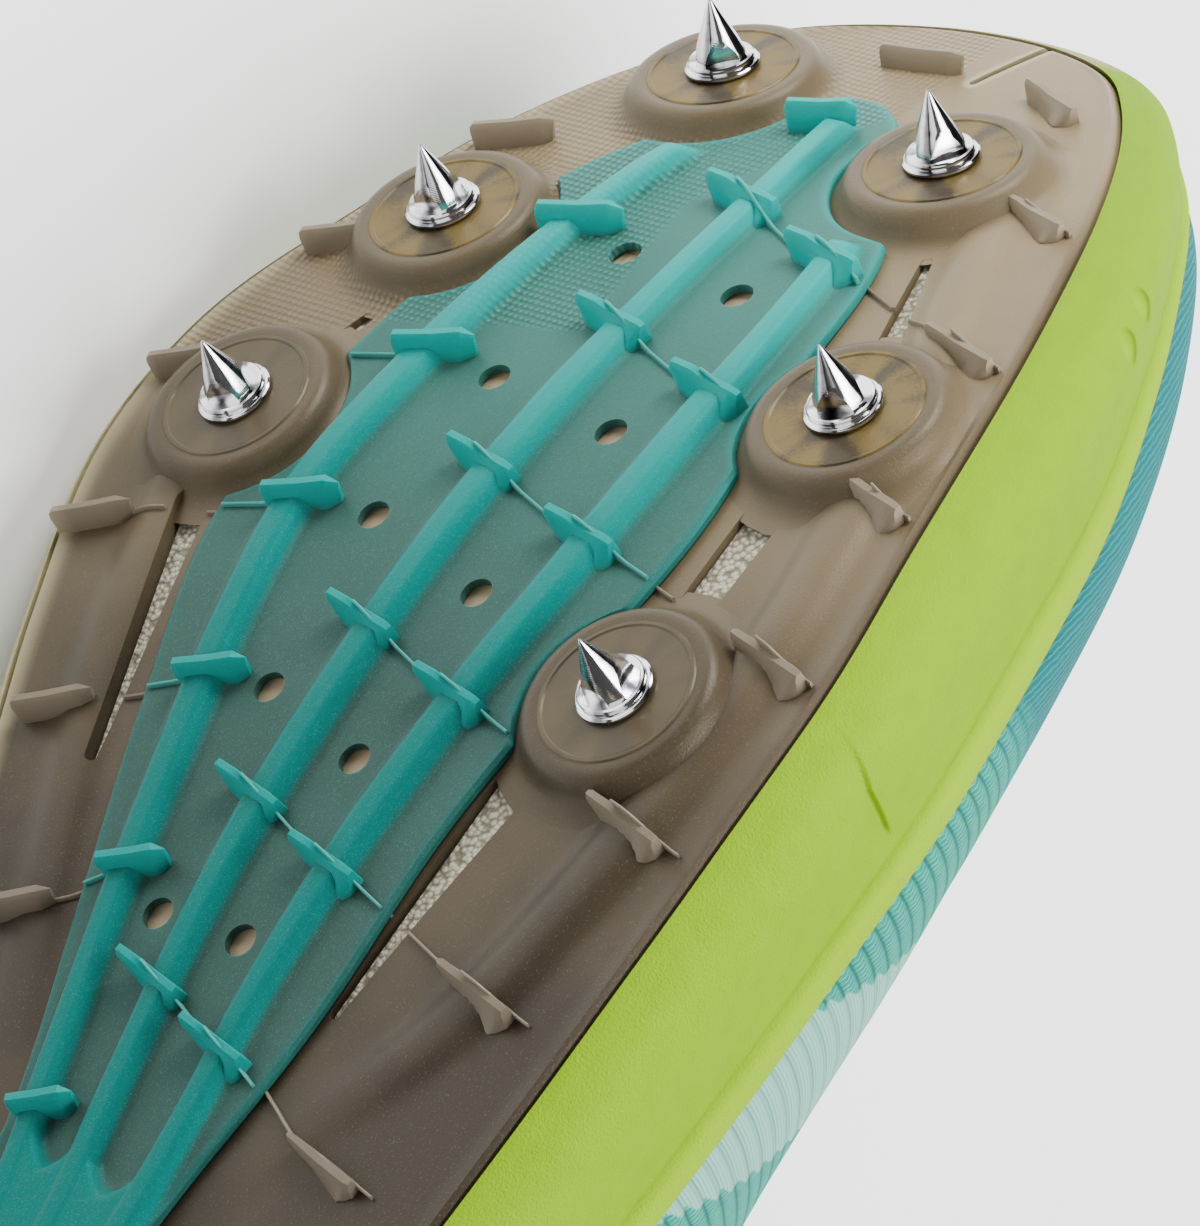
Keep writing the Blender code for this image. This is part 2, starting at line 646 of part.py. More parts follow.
def build_upper():
    """Shell of an outer and an inner wall, open underneath and at throat and collar."""
    places = plate_outline.places(SIDE_STATIONS)
    size = len(places)
    zipped = max(i for i in range(SIDE_STATIONS) if throat_gap(places[i][0]) == 0.0)
    points, number = [], {}
    for skin in (0, 1):
        for i, (s, side) in enumerate(places):
            tip = i in (0, SIDE_STATIONS)
            for k in range(WALL_ROWS + 1):
                twin = size - i
                if k == WALL_ROWS and 0 < twin <= zipped:
                    number[skin, i, k] = number[skin, twin, k]
                    continue
                v = k / WALL_ROWS
                place = wall_point(s, side, v)
                if skin:
                    meet = tip or (k == WALL_ROWS and i <= zipped)
                    inward = ridge_normal(s, v) if meet else wall_normal(s, side, v)
                    inner = place - UPPER_WALL * inward
                    if k == 0:
                        inner[2] = place[2]
                    place = inner
                number[skin, i, k] = len(points)
                points.append(place)
    faces = []
    for i in range(size):
        j = (i + 1) % size
        for k in range(WALL_ROWS):
            for skin in (0, 1):
                faces.append((number[skin, i, k], number[skin, j, k], number[skin, j, k + 1], number[skin, i, k + 1]))
        faces.append((number[0, i, 0], number[0, j, 0], number[1, j, 0], number[1, i, 0]))
        if zipped <= i < size - zipped:
            m = WALL_ROWS
            faces.append((number[0, i, m], number[0, j, m], number[1, j, m], number[1, i, m]))
    upper = solid("upper", points, faces, KNIT)
    holes = []
    for row in range(EYELET_ROWS):
        for side in (1, -1):
            place, out = eyelet(row, side)
            holes.append(drilled(place, out, EYELET_RADIUS, 4.0))
    combine(upper, bodies("eyelet_tool", holes, KNIT), "DIFFERENCE")
    return upper


def drilled(place, out, radius, reach, sides=6):
    """Round bar through a wall."""
    across = np.cross(out, np.array([1.0, 0.0, 0.0]))
    across /= np.linalg.norm(across)
    along = np.cross(across, out)
    points = []
    for level in (-reach, reach):
        for k in range(sides):
            angle = 2.0 * math.pi * k / sides
            points.append(place + out * level + radius * (along * math.cos(angle) + across * math.sin(angle)))
    return points, tube_faces(2, sides)


def down_from_edge(s, side, distance):
    """Value of v at a distance down the wall from its top edge."""
    travelled, v, step = 0.0, 1.0, 0.01
    last = wall_point(s, side, v)
    while travelled < distance and v > step:
        v -= step
        here = wall_point(s, side, v)
        travelled += np.linalg.norm(here - last)
        last = here
    return v


def eyelet(row, side):
    """Middle of an eyelet on the outside of the wall, and the direction out."""
    s = plate_outline.share(EYELET_FRONT - EYELET_PITCH * row)
    v = down_from_edge(s, side, EYELET_IN)
    return wall_point(s, side, v), wall_normal(s, side, v)


def build_tongue():
    """Strip that follows the inside of the upper on both sides of the throat and bridges it."""
    under = UPPER_WALL + TONGUE_UNDER
    sections = []
    for x in np.linspace(TONGUE_FRONT, TONGUE_BACK, TONGUE_SECTIONS):
        s = plate_outline.share(x)
        path = {}
        for side in (1, -1):
            low = down_from_edge(s, side, TONGUE_OVERLAP)
            path[side] = [wall_point(s, side, v) - under * wall_normal(s, side, v) for v in np.linspace(low, 0.985, 5)]
        line = path[1] + path[-1][::-1]
        if throat_gap(s) > 0.0:
            middle = (path[1][-1] + path[-1][-1]) / 2.0 + np.array([0.0, 0.0, 0.12 * throat_gap(s)])
            line = path[1] + [middle] + path[-1][::-1]
        sections.append(resample(np.array(line), TONGUE_POINTS))
    way = sections[-1] - sections[-2]
    way = way / np.linalg.norm(way, axis=1)[:, None]
    narrow = np.array([1.0, 0.94, 1.0])
    for lift in (0.55, 1.0):
        moved = sections[TONGUE_SECTIONS - 1] + way * TONGUE_LIFT * lift
        middle = moved.mean(axis=0)
        sections.append(middle + (moved - middle) * (narrow if lift < 1.0 else narrow * narrow))
    points = []
    for index, line in enumerate(sections):
        ahead = sections[min(index + 1, len(sections) - 1)] - sections[max(index - 1, 0)]
        across = np.gradient(line, axis=0)
        inward = np.cross(ahead, across)
        inward /= np.linalg.norm(inward, axis=1)[:, None]
        inward *= -np.sign(inward[:, 2:3].mean())
        points.extend(line)
        points.extend((line + inward * TONGUE_THICK)[::-1])
    return solid("tongue", points, tube_faces(len(sections), 2 * TONGUE_POINTS), PADDING)


def resample(line, count):
    """Points at equal steps along a polyline."""
    steps = np.concatenate([[0.0], np.cumsum(np.linalg.norm(np.diff(line, axis=0), axis=1))])
    at = np.linspace(0.0, steps[-1], count)
    return np.stack([np.interp(at, steps, line[:, c]) for c in range(3)], axis=1)


def strap(start, end, hump):
    """Flat strap from an eyelet on the lateral side to one on the medial side, lying over the throat's edges."""
    over = LACE_OVER + LACE_THICK / 2
    edge_share = 0.22
    middle, outward = [], []
    for t in np.linspace(0.0, 1.0, LACE_POINTS):
        x = EYELET_FRONT - EYELET_PITCH * (start + (end - start) * t)
        s = plate_outline.share(x)
        if t <= edge_share or t >= 1.0 - edge_share:
            side = 1 if t < 0.5 else -1
            down = EYELET_IN * (1.0 - min(t, 1.0 - t) / edge_share)
            v = min(down_from_edge(s, side, down), 0.99)
            place, out = wall_point(s, side, v), wall_normal(s, side, v)
        else:
            share = (t - edge_share) / (1.0 - 2.0 * edge_share)
            left, right = wall_point(s, 1, 0.99), wall_point(s, -1, 0.99)
            rise = 4.0 * share * (1.0 - share)
            place = left + (right - left) * share + np.array([0.0, 0.0, rise * (0.8 + hump)])
            out = wall_normal(s, 1, 0.99) * (1.0 - share) + wall_normal(s, -1, 0.99) * share
            out = out / np.linalg.norm(out)
        middle.append(place + out * over)
        outward.append(out)
    middle, outward = np.array(middle), np.array(outward)
    ahead = np.gradient(middle, axis=0)
    across = np.cross(outward, ahead)
    across /= np.linalg.norm(across, axis=1)[:, None]
    points = []
    for place, out, wide in zip(middle, outward, across):
        for a, b in ((-1, -1), (1, -1), (1, 1), (-1, 1)):
            points.append(place + wide * a * LACE_WIDTH / 2 + out * b * LACE_THICK / 2)
    return points, tube_faces(LACE_POINTS, 4)


def build_lace():
    made = []
    points, faces = strap(LACE_BAR_ROW, LACE_BAR_ROW, 0.0)
    made.append(solid("lace_bar", points, faces, LACE))
    for row in range(EYELET_ROWS - 1):
        points, faces = strap(row + LACE_SPLAY, row + 1.0 - LACE_SPLAY, 0.0)
        crossing = solid("lace_crossing_%d" % (row + 1), points, faces, LACE)
        other = strap(row + 1.0 - LACE_SPLAY, row + LACE_SPLAY, LACE_HUMP)
        combine(crossing, bodies("lace_tool_%d" % (row + 1), [other], LACE), "UNION")
        made.append(crossing)
    return made


# Pose

def volume_centre(made):
    """Volume and middle of a solid, in its own frame."""
    volume, moment = 0.0, np.zeros(3)
    for face in made.data.polygons:
        corner = [np.array(made.data.vertices[i].co) for i in face.vertices]
        for b, c in zip(corner[1:-1], corner[2:]):
            piece = np.dot(corner[0], np.cross(b, c)) / 6.0
            volume += piece
            moment += piece * (corner[0] + b + c) / 4.0
    return volume, moment / volume


def resting_normal(points, centre):
    """Outward normal of the hull face on the medial side that lies under the centre of mass."""
    hull = bmesh.new()
    for p in points:
        hull.verts.new(p)
    bmesh.ops.convex_hull(hull, input=hull.verts)
    bmesh.ops.dissolve_limit(hull, angle_limit=0.002, verts=hull.verts, edges=hull.edges)
    hull.normal_update()
    best = None
    for face in hull.faces:
        if face.normal.y > -0.8:
            continue
        inside = min((b.co - a.co).cross(centre - a.co).dot(face.normal)
                     / (b.co - a.co).length for a, b in zip([v for v in face.verts],
                                                            [*face.verts][1:] + [face.verts[0]]))
        if best is None or inside > best[0]:
            best = (inside, face.normal.copy())
    hull.free()
    return best[1]


def lay_down(made, densities):
    """Parents every piece to an empty that lays the shoe on its medial side, toe to -X, sole to -Y."""
    mass, moment = 0.0, np.zeros(3)
    for piece in made:
        volume, middle = volume_centre(piece)
        weight = volume * densities[piece.data.materials[0].name]
        mass += weight
        moment += weight * middle
    shapes = made + [o for o in bpy.data.objects if "fin_tool" in o.name]
    points = [v.co.copy() for piece in shapes for v in piece.data.vertices]
    down = resting_normal(points, Vector(moment / mass))
    toe = Vector((1.0, 0.0, 0.0))
    toe = (toe - down * toe.dot(down)).normalized()
    up = -down
    turn = Matrix((-toe, up.cross(-toe), up))
    laid = [turn @ p for p in points]
    low = [min(p[c] for p in laid) for c in range(3)]
    high = [max(p[c] for p in laid) for c in range(3)]
    shift = Vector((-(low[0] + high[0]) / 2, -(low[1] + high[1]) / 2, -low[2]))
    pose = bpy.data.objects.new("shoe_pose", None)
    bpy.context.collection.objects.link(pose)
    pose.matrix_world = Matrix.Translation(shift) @ turn.to_4x4()
    for piece in bpy.data.objects:
        if piece is not pose:
            piece.parent = pose
    bpy.context.view_layer.update()


def main():
    for old in list(bpy.data.objects):
        bpy.data.objects.remove(old, do_unlink=True)
    made = [build_midsole(), build_insole(), build_plate(), build_traction(), build_upper(), build_tongue()]
    made += build_seats() + build_spikes() + build_lace()
    surfaces = (FOAM, PLATE, TRACTION, KNIT, PADDING, LACE, SOCK, BRASS, CHROME)
    lay_down(made, {surface.name: surface.density for surface in surfaces})


main()
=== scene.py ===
"""Looks of a left cross country spike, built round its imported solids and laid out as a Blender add-on.

Pieces are worked out in the shoe's own frame, in millimetres: x from heel to toe, y to the lateral side
and z up. One fixed turn lays them on the floor.
"""

import math
from collections import namedtuple

import bpy
import numpy as np
from mathutils import Matrix, Vector


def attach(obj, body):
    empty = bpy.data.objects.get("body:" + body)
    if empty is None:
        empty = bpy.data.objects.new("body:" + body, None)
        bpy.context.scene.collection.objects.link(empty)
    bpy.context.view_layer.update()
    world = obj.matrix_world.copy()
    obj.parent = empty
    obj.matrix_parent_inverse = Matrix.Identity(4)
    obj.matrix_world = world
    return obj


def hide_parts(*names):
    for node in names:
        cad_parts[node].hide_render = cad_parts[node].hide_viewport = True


bl_info = {
    "name": "Cross country spike",
    "version": (1, 0, 0),
    "blender": (4, 5, 0),
    "location": "View3D > Sidebar > Spike shoe",
    "description": "Dresses the solids of a cross country spike",
    "category": "Object",
}

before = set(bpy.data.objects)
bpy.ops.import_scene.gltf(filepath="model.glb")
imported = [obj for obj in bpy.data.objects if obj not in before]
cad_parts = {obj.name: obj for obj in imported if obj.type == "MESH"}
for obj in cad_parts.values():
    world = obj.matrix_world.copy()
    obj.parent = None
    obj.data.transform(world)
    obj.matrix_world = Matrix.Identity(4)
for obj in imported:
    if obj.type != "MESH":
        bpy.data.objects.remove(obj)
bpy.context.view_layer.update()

MM = 0.001
GAP = 0.3
FLOOR_CLEAR = 0.00002
MERGE_DISTANCE = 2e-6
TONGUE_MERGE = 2e-5
FULL_TURN = 2.0 * math.pi

# Edges flatter than these angles, in degrees, are shaded smooth
FOAM_ANGLE = 50.0
PLATE_ANGLE = 40.0
METAL_ANGLE = 28.0
CLOTH_ANGLE = 60.0


def table(kind, *rows):
    return [kind(*row) for row in rows]


# How the shoe lies: its toe, lateral and upward directions and its own origin, in the world
LAID_TOE = np.array([-0.99561, 0.0, 0.09364])
LAID_LATERAL = np.array([0.09246, 0.15832, 0.98305])
LAID_UP = np.array([-0.01483, 0.98739, -0.15762])
LAID_ORIGIN = np.array([0.14478, -0.04090, 0.03142])
ACROSS = np.array([0.0, 1.0, 0.0])

# Plate outline: the two edges at stations from the heel tip to the toe tip
OutlineRow = namedtuple("OutlineRow", "station medial lateral")
PLATE_OUTLINE = table(
    OutlineRow,
    (4.0, 3.0, 3.0), (8.0, -11.0, 16.5), (20.0, -22.5, 27.0), (45.0, -28.5, 33.8),
    (80.0, -26.5, 37.0), (115.0, -23.5, 41.0), (145.0, -25.0, 45.0), (165.0, -30.0, 47.4),
    (185.0, -38.5, 48.8), (205.0, -45.6, 48.8), (220.0, -46.2, 46.4), (240.0, -41.0, 41.8),
    (258.0, -35.8, 35.2), (272.0, -29.4, 27.6), (281.0, -21.8, 20.4), (286.5, -10.5, 13.0),
    (288.4, 2.0, 2.0),
)

# Sole along its length: ground side of the plate, height of plate and foam together, flare of the sidewall
SoleRow = namedtuple("SoleRow", "station bottom stack flare")
SOLE = table(
    SoleRow,
    (-10.0, 20.0, 18.0, 1.1), (0.0, 14.0, 20.0, 1.1), (20.0, 8.0, 23.0, 1.15),
    (45.0, 5.5, 24.0, 1.15), (80.0, 6.5, 22.5, 1.0), (115.0, 6.5, 20.8, 0.8), (145.0, 3.8, 20.2, 0.9),
    (175.0, 0.9, 21.2, 0.9), (200.0, 0.0, 21.6, 0.9), (225.0, 1.6, 22.2, 0.9),
    (240.0, 4.2, 21.0, 1.0), (255.0, 8.0, 17.9, 1.0), (270.0, 13.2, 14.6, 0.9),
    (288.0, 21.0, 13.2, 0.7), (310.0, 34.0, 13.0, 0.7),
)

# Sidewall of the foam: place along its section, reach out of the plate's edge, share of the stack
SideRow = namedtuple("SideRow", "station out share")
SIDEWALL = table(
    SideRow,
    (0.00, 1.2, 0.03), (0.12, 3.4, 0.14), (0.28, 4.6, 0.30), (0.48, 4.2, 0.50), (0.66, 3.2, 0.68),
    (0.75, 2.7, 0.77), (0.79, 2.1, 0.80), (0.83, 2.7, 0.84), (0.94, 2.6, 0.95), (1.00, 1.8, 1.00),
)
SIDEWALL_STEPS = 44
SIDEWALL_TOP_STEPS = np.linspace(0.12, 1.0, 6)
MEDIAL_TUCK = 0.6
MEDIAL_TUCK_BACK = (228.0, 250.0)
MEDIAL_TUCK_FRONT = (284.0, 288.4)
FOAM_RINGS = 400

# Marks on the foam for its material: the lateral band, the painted pale glow on the lower medial sidewall and
# the bed under the plate
LATERAL_BAND = 4.0
GLOW_SIDE = (9.0, 15.0)
GLOW_TOP = (0.30, 0.42)
GLOW_BACK = (120.0, 160.0)
BED_EDGE = (0.3, 0.7)
BED_TOP = 0.6

# Plate: its edge as steps outwards and upwards, the bed that holds it, and where rings lie closer
PLATE_THICK = 1.8
PLATE_CHAMFER = 0.6
PLATE_EDGE = ((-0.2, 0.12), (0.0, 0.55), (0.0, PLATE_THICK))
PLATE_RINGS = 380
PLATE_COLUMNS = 120
PLATE_BACK_SHARES = (0.35, 0.65)
BED_CLEAR = GAP + 0.05
BED_WALL_FOOT = 0.15
BED_STEPS = 7
FRONT_HALF = 0.5
BACK_RING_SHARE = 0.28

# Oval dimples and the one crease in the lateral sidewall
DimpleRow = namedtuple("DimpleRow", "station share half_length half_share")
DIMPLES = [DimpleRow(257.2, 0.35, 1.2, 0.125), DimpleRow(252.3, 0.375, 1.2, 0.125)]
DIMPLE_DEPTH = 0.55
DIMPLE_EDGE = (0.35, 1.1)
CREASE_STATION = 200.0
CREASE_SHARE = 0.35
CREASE_RUN = 7.0
CREASE_DEPTH = 0.5
CREASE_LEAN = 7.0
CREASE_LIP = 0.45
CREASE_LOW_END = (0.0, 0.45)
CREASE_HIGH_END = (0.60, 0.68)

# Stretches with closer rings round crease and dimples: from, to and how many
RELIEF_SPANS = [(195.0, 204.0, 90), (248.0, 262.0, 90)]

# Raised rails of the plate: how far in from the edge, and how high
RailRow = namedtuple("RailRow", "station inset height")
LATERAL_RAIL = table(
    RailRow,
    (140.0, 24.0, 0.0), (150.0, 19.0, 0.3), (162.0, 13.0, 0.9), (178.0, 9.5, 1.2), (200.0, 8.0, 1.3),
    (218.0, 7.6, 1.3), (236.0, 8.8, 1.3), (252.0, 10.2, 1.3), (264.0, 9.6, 0.9), (276.0, 8.0, 0.0),
)
MEDIAL_RAIL = table(
    RailRow,
    (138.0, 18.0, 0.0), (150.0, 15.0, 0.5), (165.0, 12.0, 0.9), (185.0, 11.2, 1.0),
    (200.0, 12.4, 1.1), (203.6, 12.6, 1.1), (204.6, 12.7, 0.0), (206.0, 12.8, 0.0),
)
RAIL_HALF_WIDTH = 3.1
RIM_HEIGHT = 0.35
RIM_EDGE = (0.3, 2.4)
RIM_BACK = (120.0, 165.0)

# Marks on the plates for their materials: pale places, partly painted glow and light, dark places of painted
# shade, and the dimpled field
SLIT_EDGE = (0.75, 1.3)
# Painted glow along the plate's thin medial rim
PALE_RIM = (0.0, 2.8)
PALE_RIM_SIDE = (-5.0, 15.0)
# Pale plate in the holes, partly painted light that lifts the shade in them
PALE_HOLE = (2.2, 3.0)
# Painted shade: a dark ring on each boss's skirt, and a dark band along the lateral edge
DARK_RING = (9.4, 12.5)
DARK_RIM = (0.3, 1.4)
DARK_RIM_SIDE = (0.0, 15.0)
DARK_RIM_FRONT = (255.0, 275.0)
SHEET_RIM = (0.0, 1.3)
FIELD_LIFT = (0.45, 1.1)
FIELD_EDGE = 0.6
FIELD_BACK = ((-46.0, -30.0, -12.0, -3.0), (214.0, 225.0, 230.0, 232.0))
FIELD_SIDE = ((225.0, 232.0, 251.0, 269.0, 288.0), (-8.0, -3.0, -6.5, 2.0, 0.0))

# Spikes: where each stands on the plate, and how its flats are turned, in degrees
SpikeRow = namedtuple("SpikeRow", "letter x y turn")
SPIKES = table(
    SpikeRow,
    ("a", 212.2, -31.2, 20.0), ("b", 240.1, -28.4, 5.0), ("c", 268.6, -18.1, 48.0),
    ("d", 263.2, 15.2, 62.0), ("e", 230.4, 31.7, 25.0), ("f", 196.0, 31.8, -7.0),
)
FLAT_COUNT = 3
FLAT_TAPER = 0.06
FLAT_HEIGHT = 2.6
SPIKE_LIFT = 0.12
SEAT_TURN = 37.0
DULL_SEATS = "af"

# Bosses, seats and spikes: turned profiles, step by step from the foot
TurnRow = namedtuple("TurnRow", "radius height")
BOSS_HEIGHT = 3.0
BOSS_SIDES = 72
BOSS_INSET = 0.9
BOSS_PROFILE = table(
    TurnRow,
    (13.4, -0.12), (12.2, 0.06), (11.2, 0.34), (10.5, 0.85), (10.0, 1.6), (9.6, 2.3), (9.2, 2.75),
    (8.7, 2.97), (8.2, 3.0), (7.4, 2.9), (5.0, 2.86),
)
SEAT_PROFILE = table(
    TurnRow,
    (3.7, -0.4), (3.7, 1.8), (7.6, 1.8), (7.7, 2.95), (7.55, 3.08), (7.25, 3.10), (7.05, 2.98),
    (4.6, 2.96), (2.3, 2.96), (2.3, 0.1),
)
FLANGE_PROFILE = table(
    TurnRow,
    (2.0, -2.6), (2.0, 0.0), (3.6, 0.0), (3.75, 0.12), (3.75, 0.34), (3.6, 0.48), (3.36, 0.52),
    (3.3, 0.62), (3.32, 0.9), (3.2, 1.06), (2.98, 1.1), (2.84, 1.04), (1.8, 1.0),
)
CONE_PROFILE = table(
    TurnRow,
    (2.64, 0.6), (2.56, 1.3), (2.42, 1.9), (1.68, 3.7), (0.90, 5.55), (0.32, 6.95), (0.10, 7.42),
    (0.03, 7.5),
)

# Slots through the plate, from their front end to their back end
SlotRow = namedtuple("SlotRow", "front_x front_y front_width back_x back_y back_width")
SLOTS = table(
    SlotRow,
    (252.5, 22.0, 1.2, 241.0, 27.0, 2.6),
    (219.0, 30.2, 4.4, 207.6, 30.6, 4.0),
    (187.0, 25.6, 4.6, 160.5, 22.6, 1.2),
    (201.0, -29.0, 3.4, 174.0, -20.0, 1.2),
    (229.2, -27.4, 1.2, 223.6, -28.8, 1.8),
    (292.0, 6.2, 1.2, 279.5, 3.7, 0.8),
)
SLOT_CUT = (3.0, -PLATE_THICK - 1.5)
SLOT_FILL = (-0.7, -PLATE_THICK - GAP - 0.4)
SLOT_FILL_WIDER = -0.3
SLOT_END_STEPS = 9

# Traction plate: outline, ribs, hub and holes
TRACTION_OUTLINE = table(
    OutlineRow,
    (100.0, 8.0, 8.0), (106.0, 2.5, 13.0), (122.0, -1.0, 17.0), (140.0, -3.2, 19.0),
    (160.0, -10.2, 22.0), (180.0, -18.0, 22.5), (200.0, -25.2, 25.0), (215.0, -26.0, 25.8),
    (232.0, -24.6, 22.5), (250.0, -22.4, 18.5), (262.0, -15.4, 9.5), (268.5, -8.5, 4.5),
    (271.5, -2.5, -2.5),
)
TRACTION_THICK = 0.9
TRACTION_TOP = GAP + TRACTION_THICK
TRACTION_RINGS = 430
TRACTION_COLUMNS = 120
TRACTION_BACK_SHARE = 6
TRACTION_CLOSER = 140.0
TRACTION_FRONT_SPAN = (251.8, 256.0, 24)
COLUMN_SHARES = (0.0, 0.1, 0.5, 0.9, 1.0)
COLUMN_LEAST = 0.004
SHEET_LEAST = 0.02
SHEET_BACK_SHARES = (1.0, 0.66, 0.33, 0.0)
SHEET_ROUND = 0.35
SHEET_ROUND_REACH = 0.5
SCALLOP_RADIUS = 10.9
RibRow = namedtuple("RibRow", "station medial middle lateral")
RIBS = table(
    RibRow,
    (112.0, 5.4, 9.0, 13.0), (134.0, 2.3, 9.2, 16.6), (145.0, -1.0, 7.0, 16.2),
    (158.0, -4.8, 4.7, 15.0), (173.0, -9.0, 2.9, 14.8), (190.0, -13.8, 2.0, 15.7),
    (205.0, -17.0, 1.4, 16.8), (222.0, -16.5, 1.5, 17.2), (240.0, -15.3, 1.5, 16.1),
    (253.0, -13.4, 1.1, 14.0), (268.0, -9.2, -0.6, 10.8),
)
RIB_FRONT = {"medial": 257.0, "middle": 266.0, "lateral": 250.2}
RIB_HEIGHT = 1.6
RIB_CORE = 0.8
RIB_FOOT = 2.35
RIB_SWELL = 0.35
RIB_SWELL_BACK = (150.0, 185.0)
RIB_SWELL_FRONT = (222.0, 240.0)
RIB_START = (100.0, 112.0)
RIB_END_BACK = 1.2
RIB_END_FRONT = 1.4
RIB_CROWN = 0.12
RIB_CROWN_HALF = 2.0
RIB_EDGE = 3.2
HUB_FRONT = 136.5
HUB_BACK = 106.0
HUB_BACK_FADE = 3.0
HUB_REACH = 5.0
HUB_WEB = 4.2
HUB_FALL = 2.2
HUB_SIDE = (-2.4, -0.2)

# Holes of the sheet: stations of those beside the medial and of those beside the lateral rib
HOLE_RADIUS = 1.6
HOLE_SIDES = 28
HOLE_SPAN = (-1.0, 4.0)
HoleRow = namedtuple("HoleRow", "medial lateral")
HOLES = table(
    HoleRow,
    (242.3, 241.0), (223.8, 221.8), (205.7, 201.5), (186.0, 182.4), (162.4, 163.0),
)

# Fins stand in lines from front to back, on the ribs and along the edges of the plate
FinLine = namedtuple("FinLine", "name front count pitch late length shrink turn swing inset drift aside")
RIB_FINS = table(
    FinLine,
    ("medial", 243.8, 6, 19.55, 3.8, 8.6, 0.55, 18.0, 2.0, 0.0, 0.0, 1.2),
    ("middle", 252.2, 6, 19.1, 0.0, 8.2, 0.2, -4.0, -1.2, 0.0, 0.0, -0.8),
    ("lateral", 247.6, 6, 18.85, 0.0, 8.2, 0.2, -4.0, -1.2, 0.0, 0.0, -0.4),
)
RIB_FIN_HEIGHT = 4.1
EDGE_FINS = [
    FinLine("medial", 253.6, 6, 19.1, 0.0, 8.0, 0.0, 28.0, 0.0, 4.6, 3.2, 0.0),
    FinLine("lateral", 261.1, 7, 18.9, 0.0, 8.4, 0.0, -11.0, 0.0, 6.0, 2.6, 0.0),
]
EDGE_FIN_STRAIGHT = 4
EDGE_FIN_HEIGHT = 2.7
EDGE_FIN_LOW = 2.1
EDGE_FIN_RISE = 0.6
EDGE_FIN_BASE = 0.2
TOE_FIN_HEIGHT = 2.3
Fin = namedtuple("Fin", "x y length turn")
FRONT_FIN = Fin(265.5, -2.4, 6.6, 20.0)
TOE_FINS = [Fin(279.7, -3.0, 8.8, 10.0), Fin(278.0, 15.2, 7.6, -16.0)]

# Fin from its medial to its lateral end: share of its height, reach of its heel and toe sides
FinRow = namedtuple("FinRow", "station height heel toe")
FinShape = namedtuple("FinShape", "rows medial_slant lateral_slant")
CHISEL = FinShape(table(
    FinRow,
    (0.00, 0.90, 0.85, 0.45), (0.07, 1.00, 1.05, 0.60), (0.34, 0.97, 1.35, 0.65),
    (0.50, 0.84, 1.90, 0.65), (0.86, 0.78, 2.90, 0.65), (0.94, 0.76, 2.10, 0.60),
    (1.00, 0.72, 1.10, 0.50),
), 0.32, 0.0)
BAR = FinShape(table(
    FinRow,
    (0.00, 0.86, 0.85, 0.60), (0.05, 1.00, 1.00, 0.70), (0.50, 0.97, 1.05, 0.75),
    (0.84, 1.00, 1.00, 0.75), (1.00, 0.80, 0.20, 0.45),
), 0.08, 0.26)
FIN_STEPS = 9
FIN_ROOT = 0.6
FIN_LEAST_RISE = 0.2
FIN_FULL_RISE = 3.2
FIN_LEAST_FLARE = 0.5
CREST_REACH = 0.55
CREST_SHARE = 0.6
CREST_FALL = 0.42
CREST_FLAT = 0.32
TOE_CREST = 0.6
TOE_CHAMFER = 0.75
TOE_FALL = 0.1

# Thin lines that run out from the fins
LINE_WIDTH = 0.24
LINE_HEIGHT = 0.5
LINE_STEP = 0.6
LINE_ROOT = 0.5
LINE_FOOT = 1.6
LINE_ROUND = 0.08
LINE_BOSS_CLEAR = 10.6
LINE_EDGE_CLEAR = 0.9
LINE_SHEET_CLEAR = 0.3
LINE_FORWARD = 0.4
LINE_FALL_START = 0.1
EDGE_LINE_SPAN = (0.35, 1.22)
EDGE_LINE_SHARE = 0.85
RIB_LINE_START = 0.36
RIB_LINE_END = 0.06
RIB_LINE_SHARE = 0.96
RIB_LINE_FALL = 0.9
BAR_LINE_START = 0.05

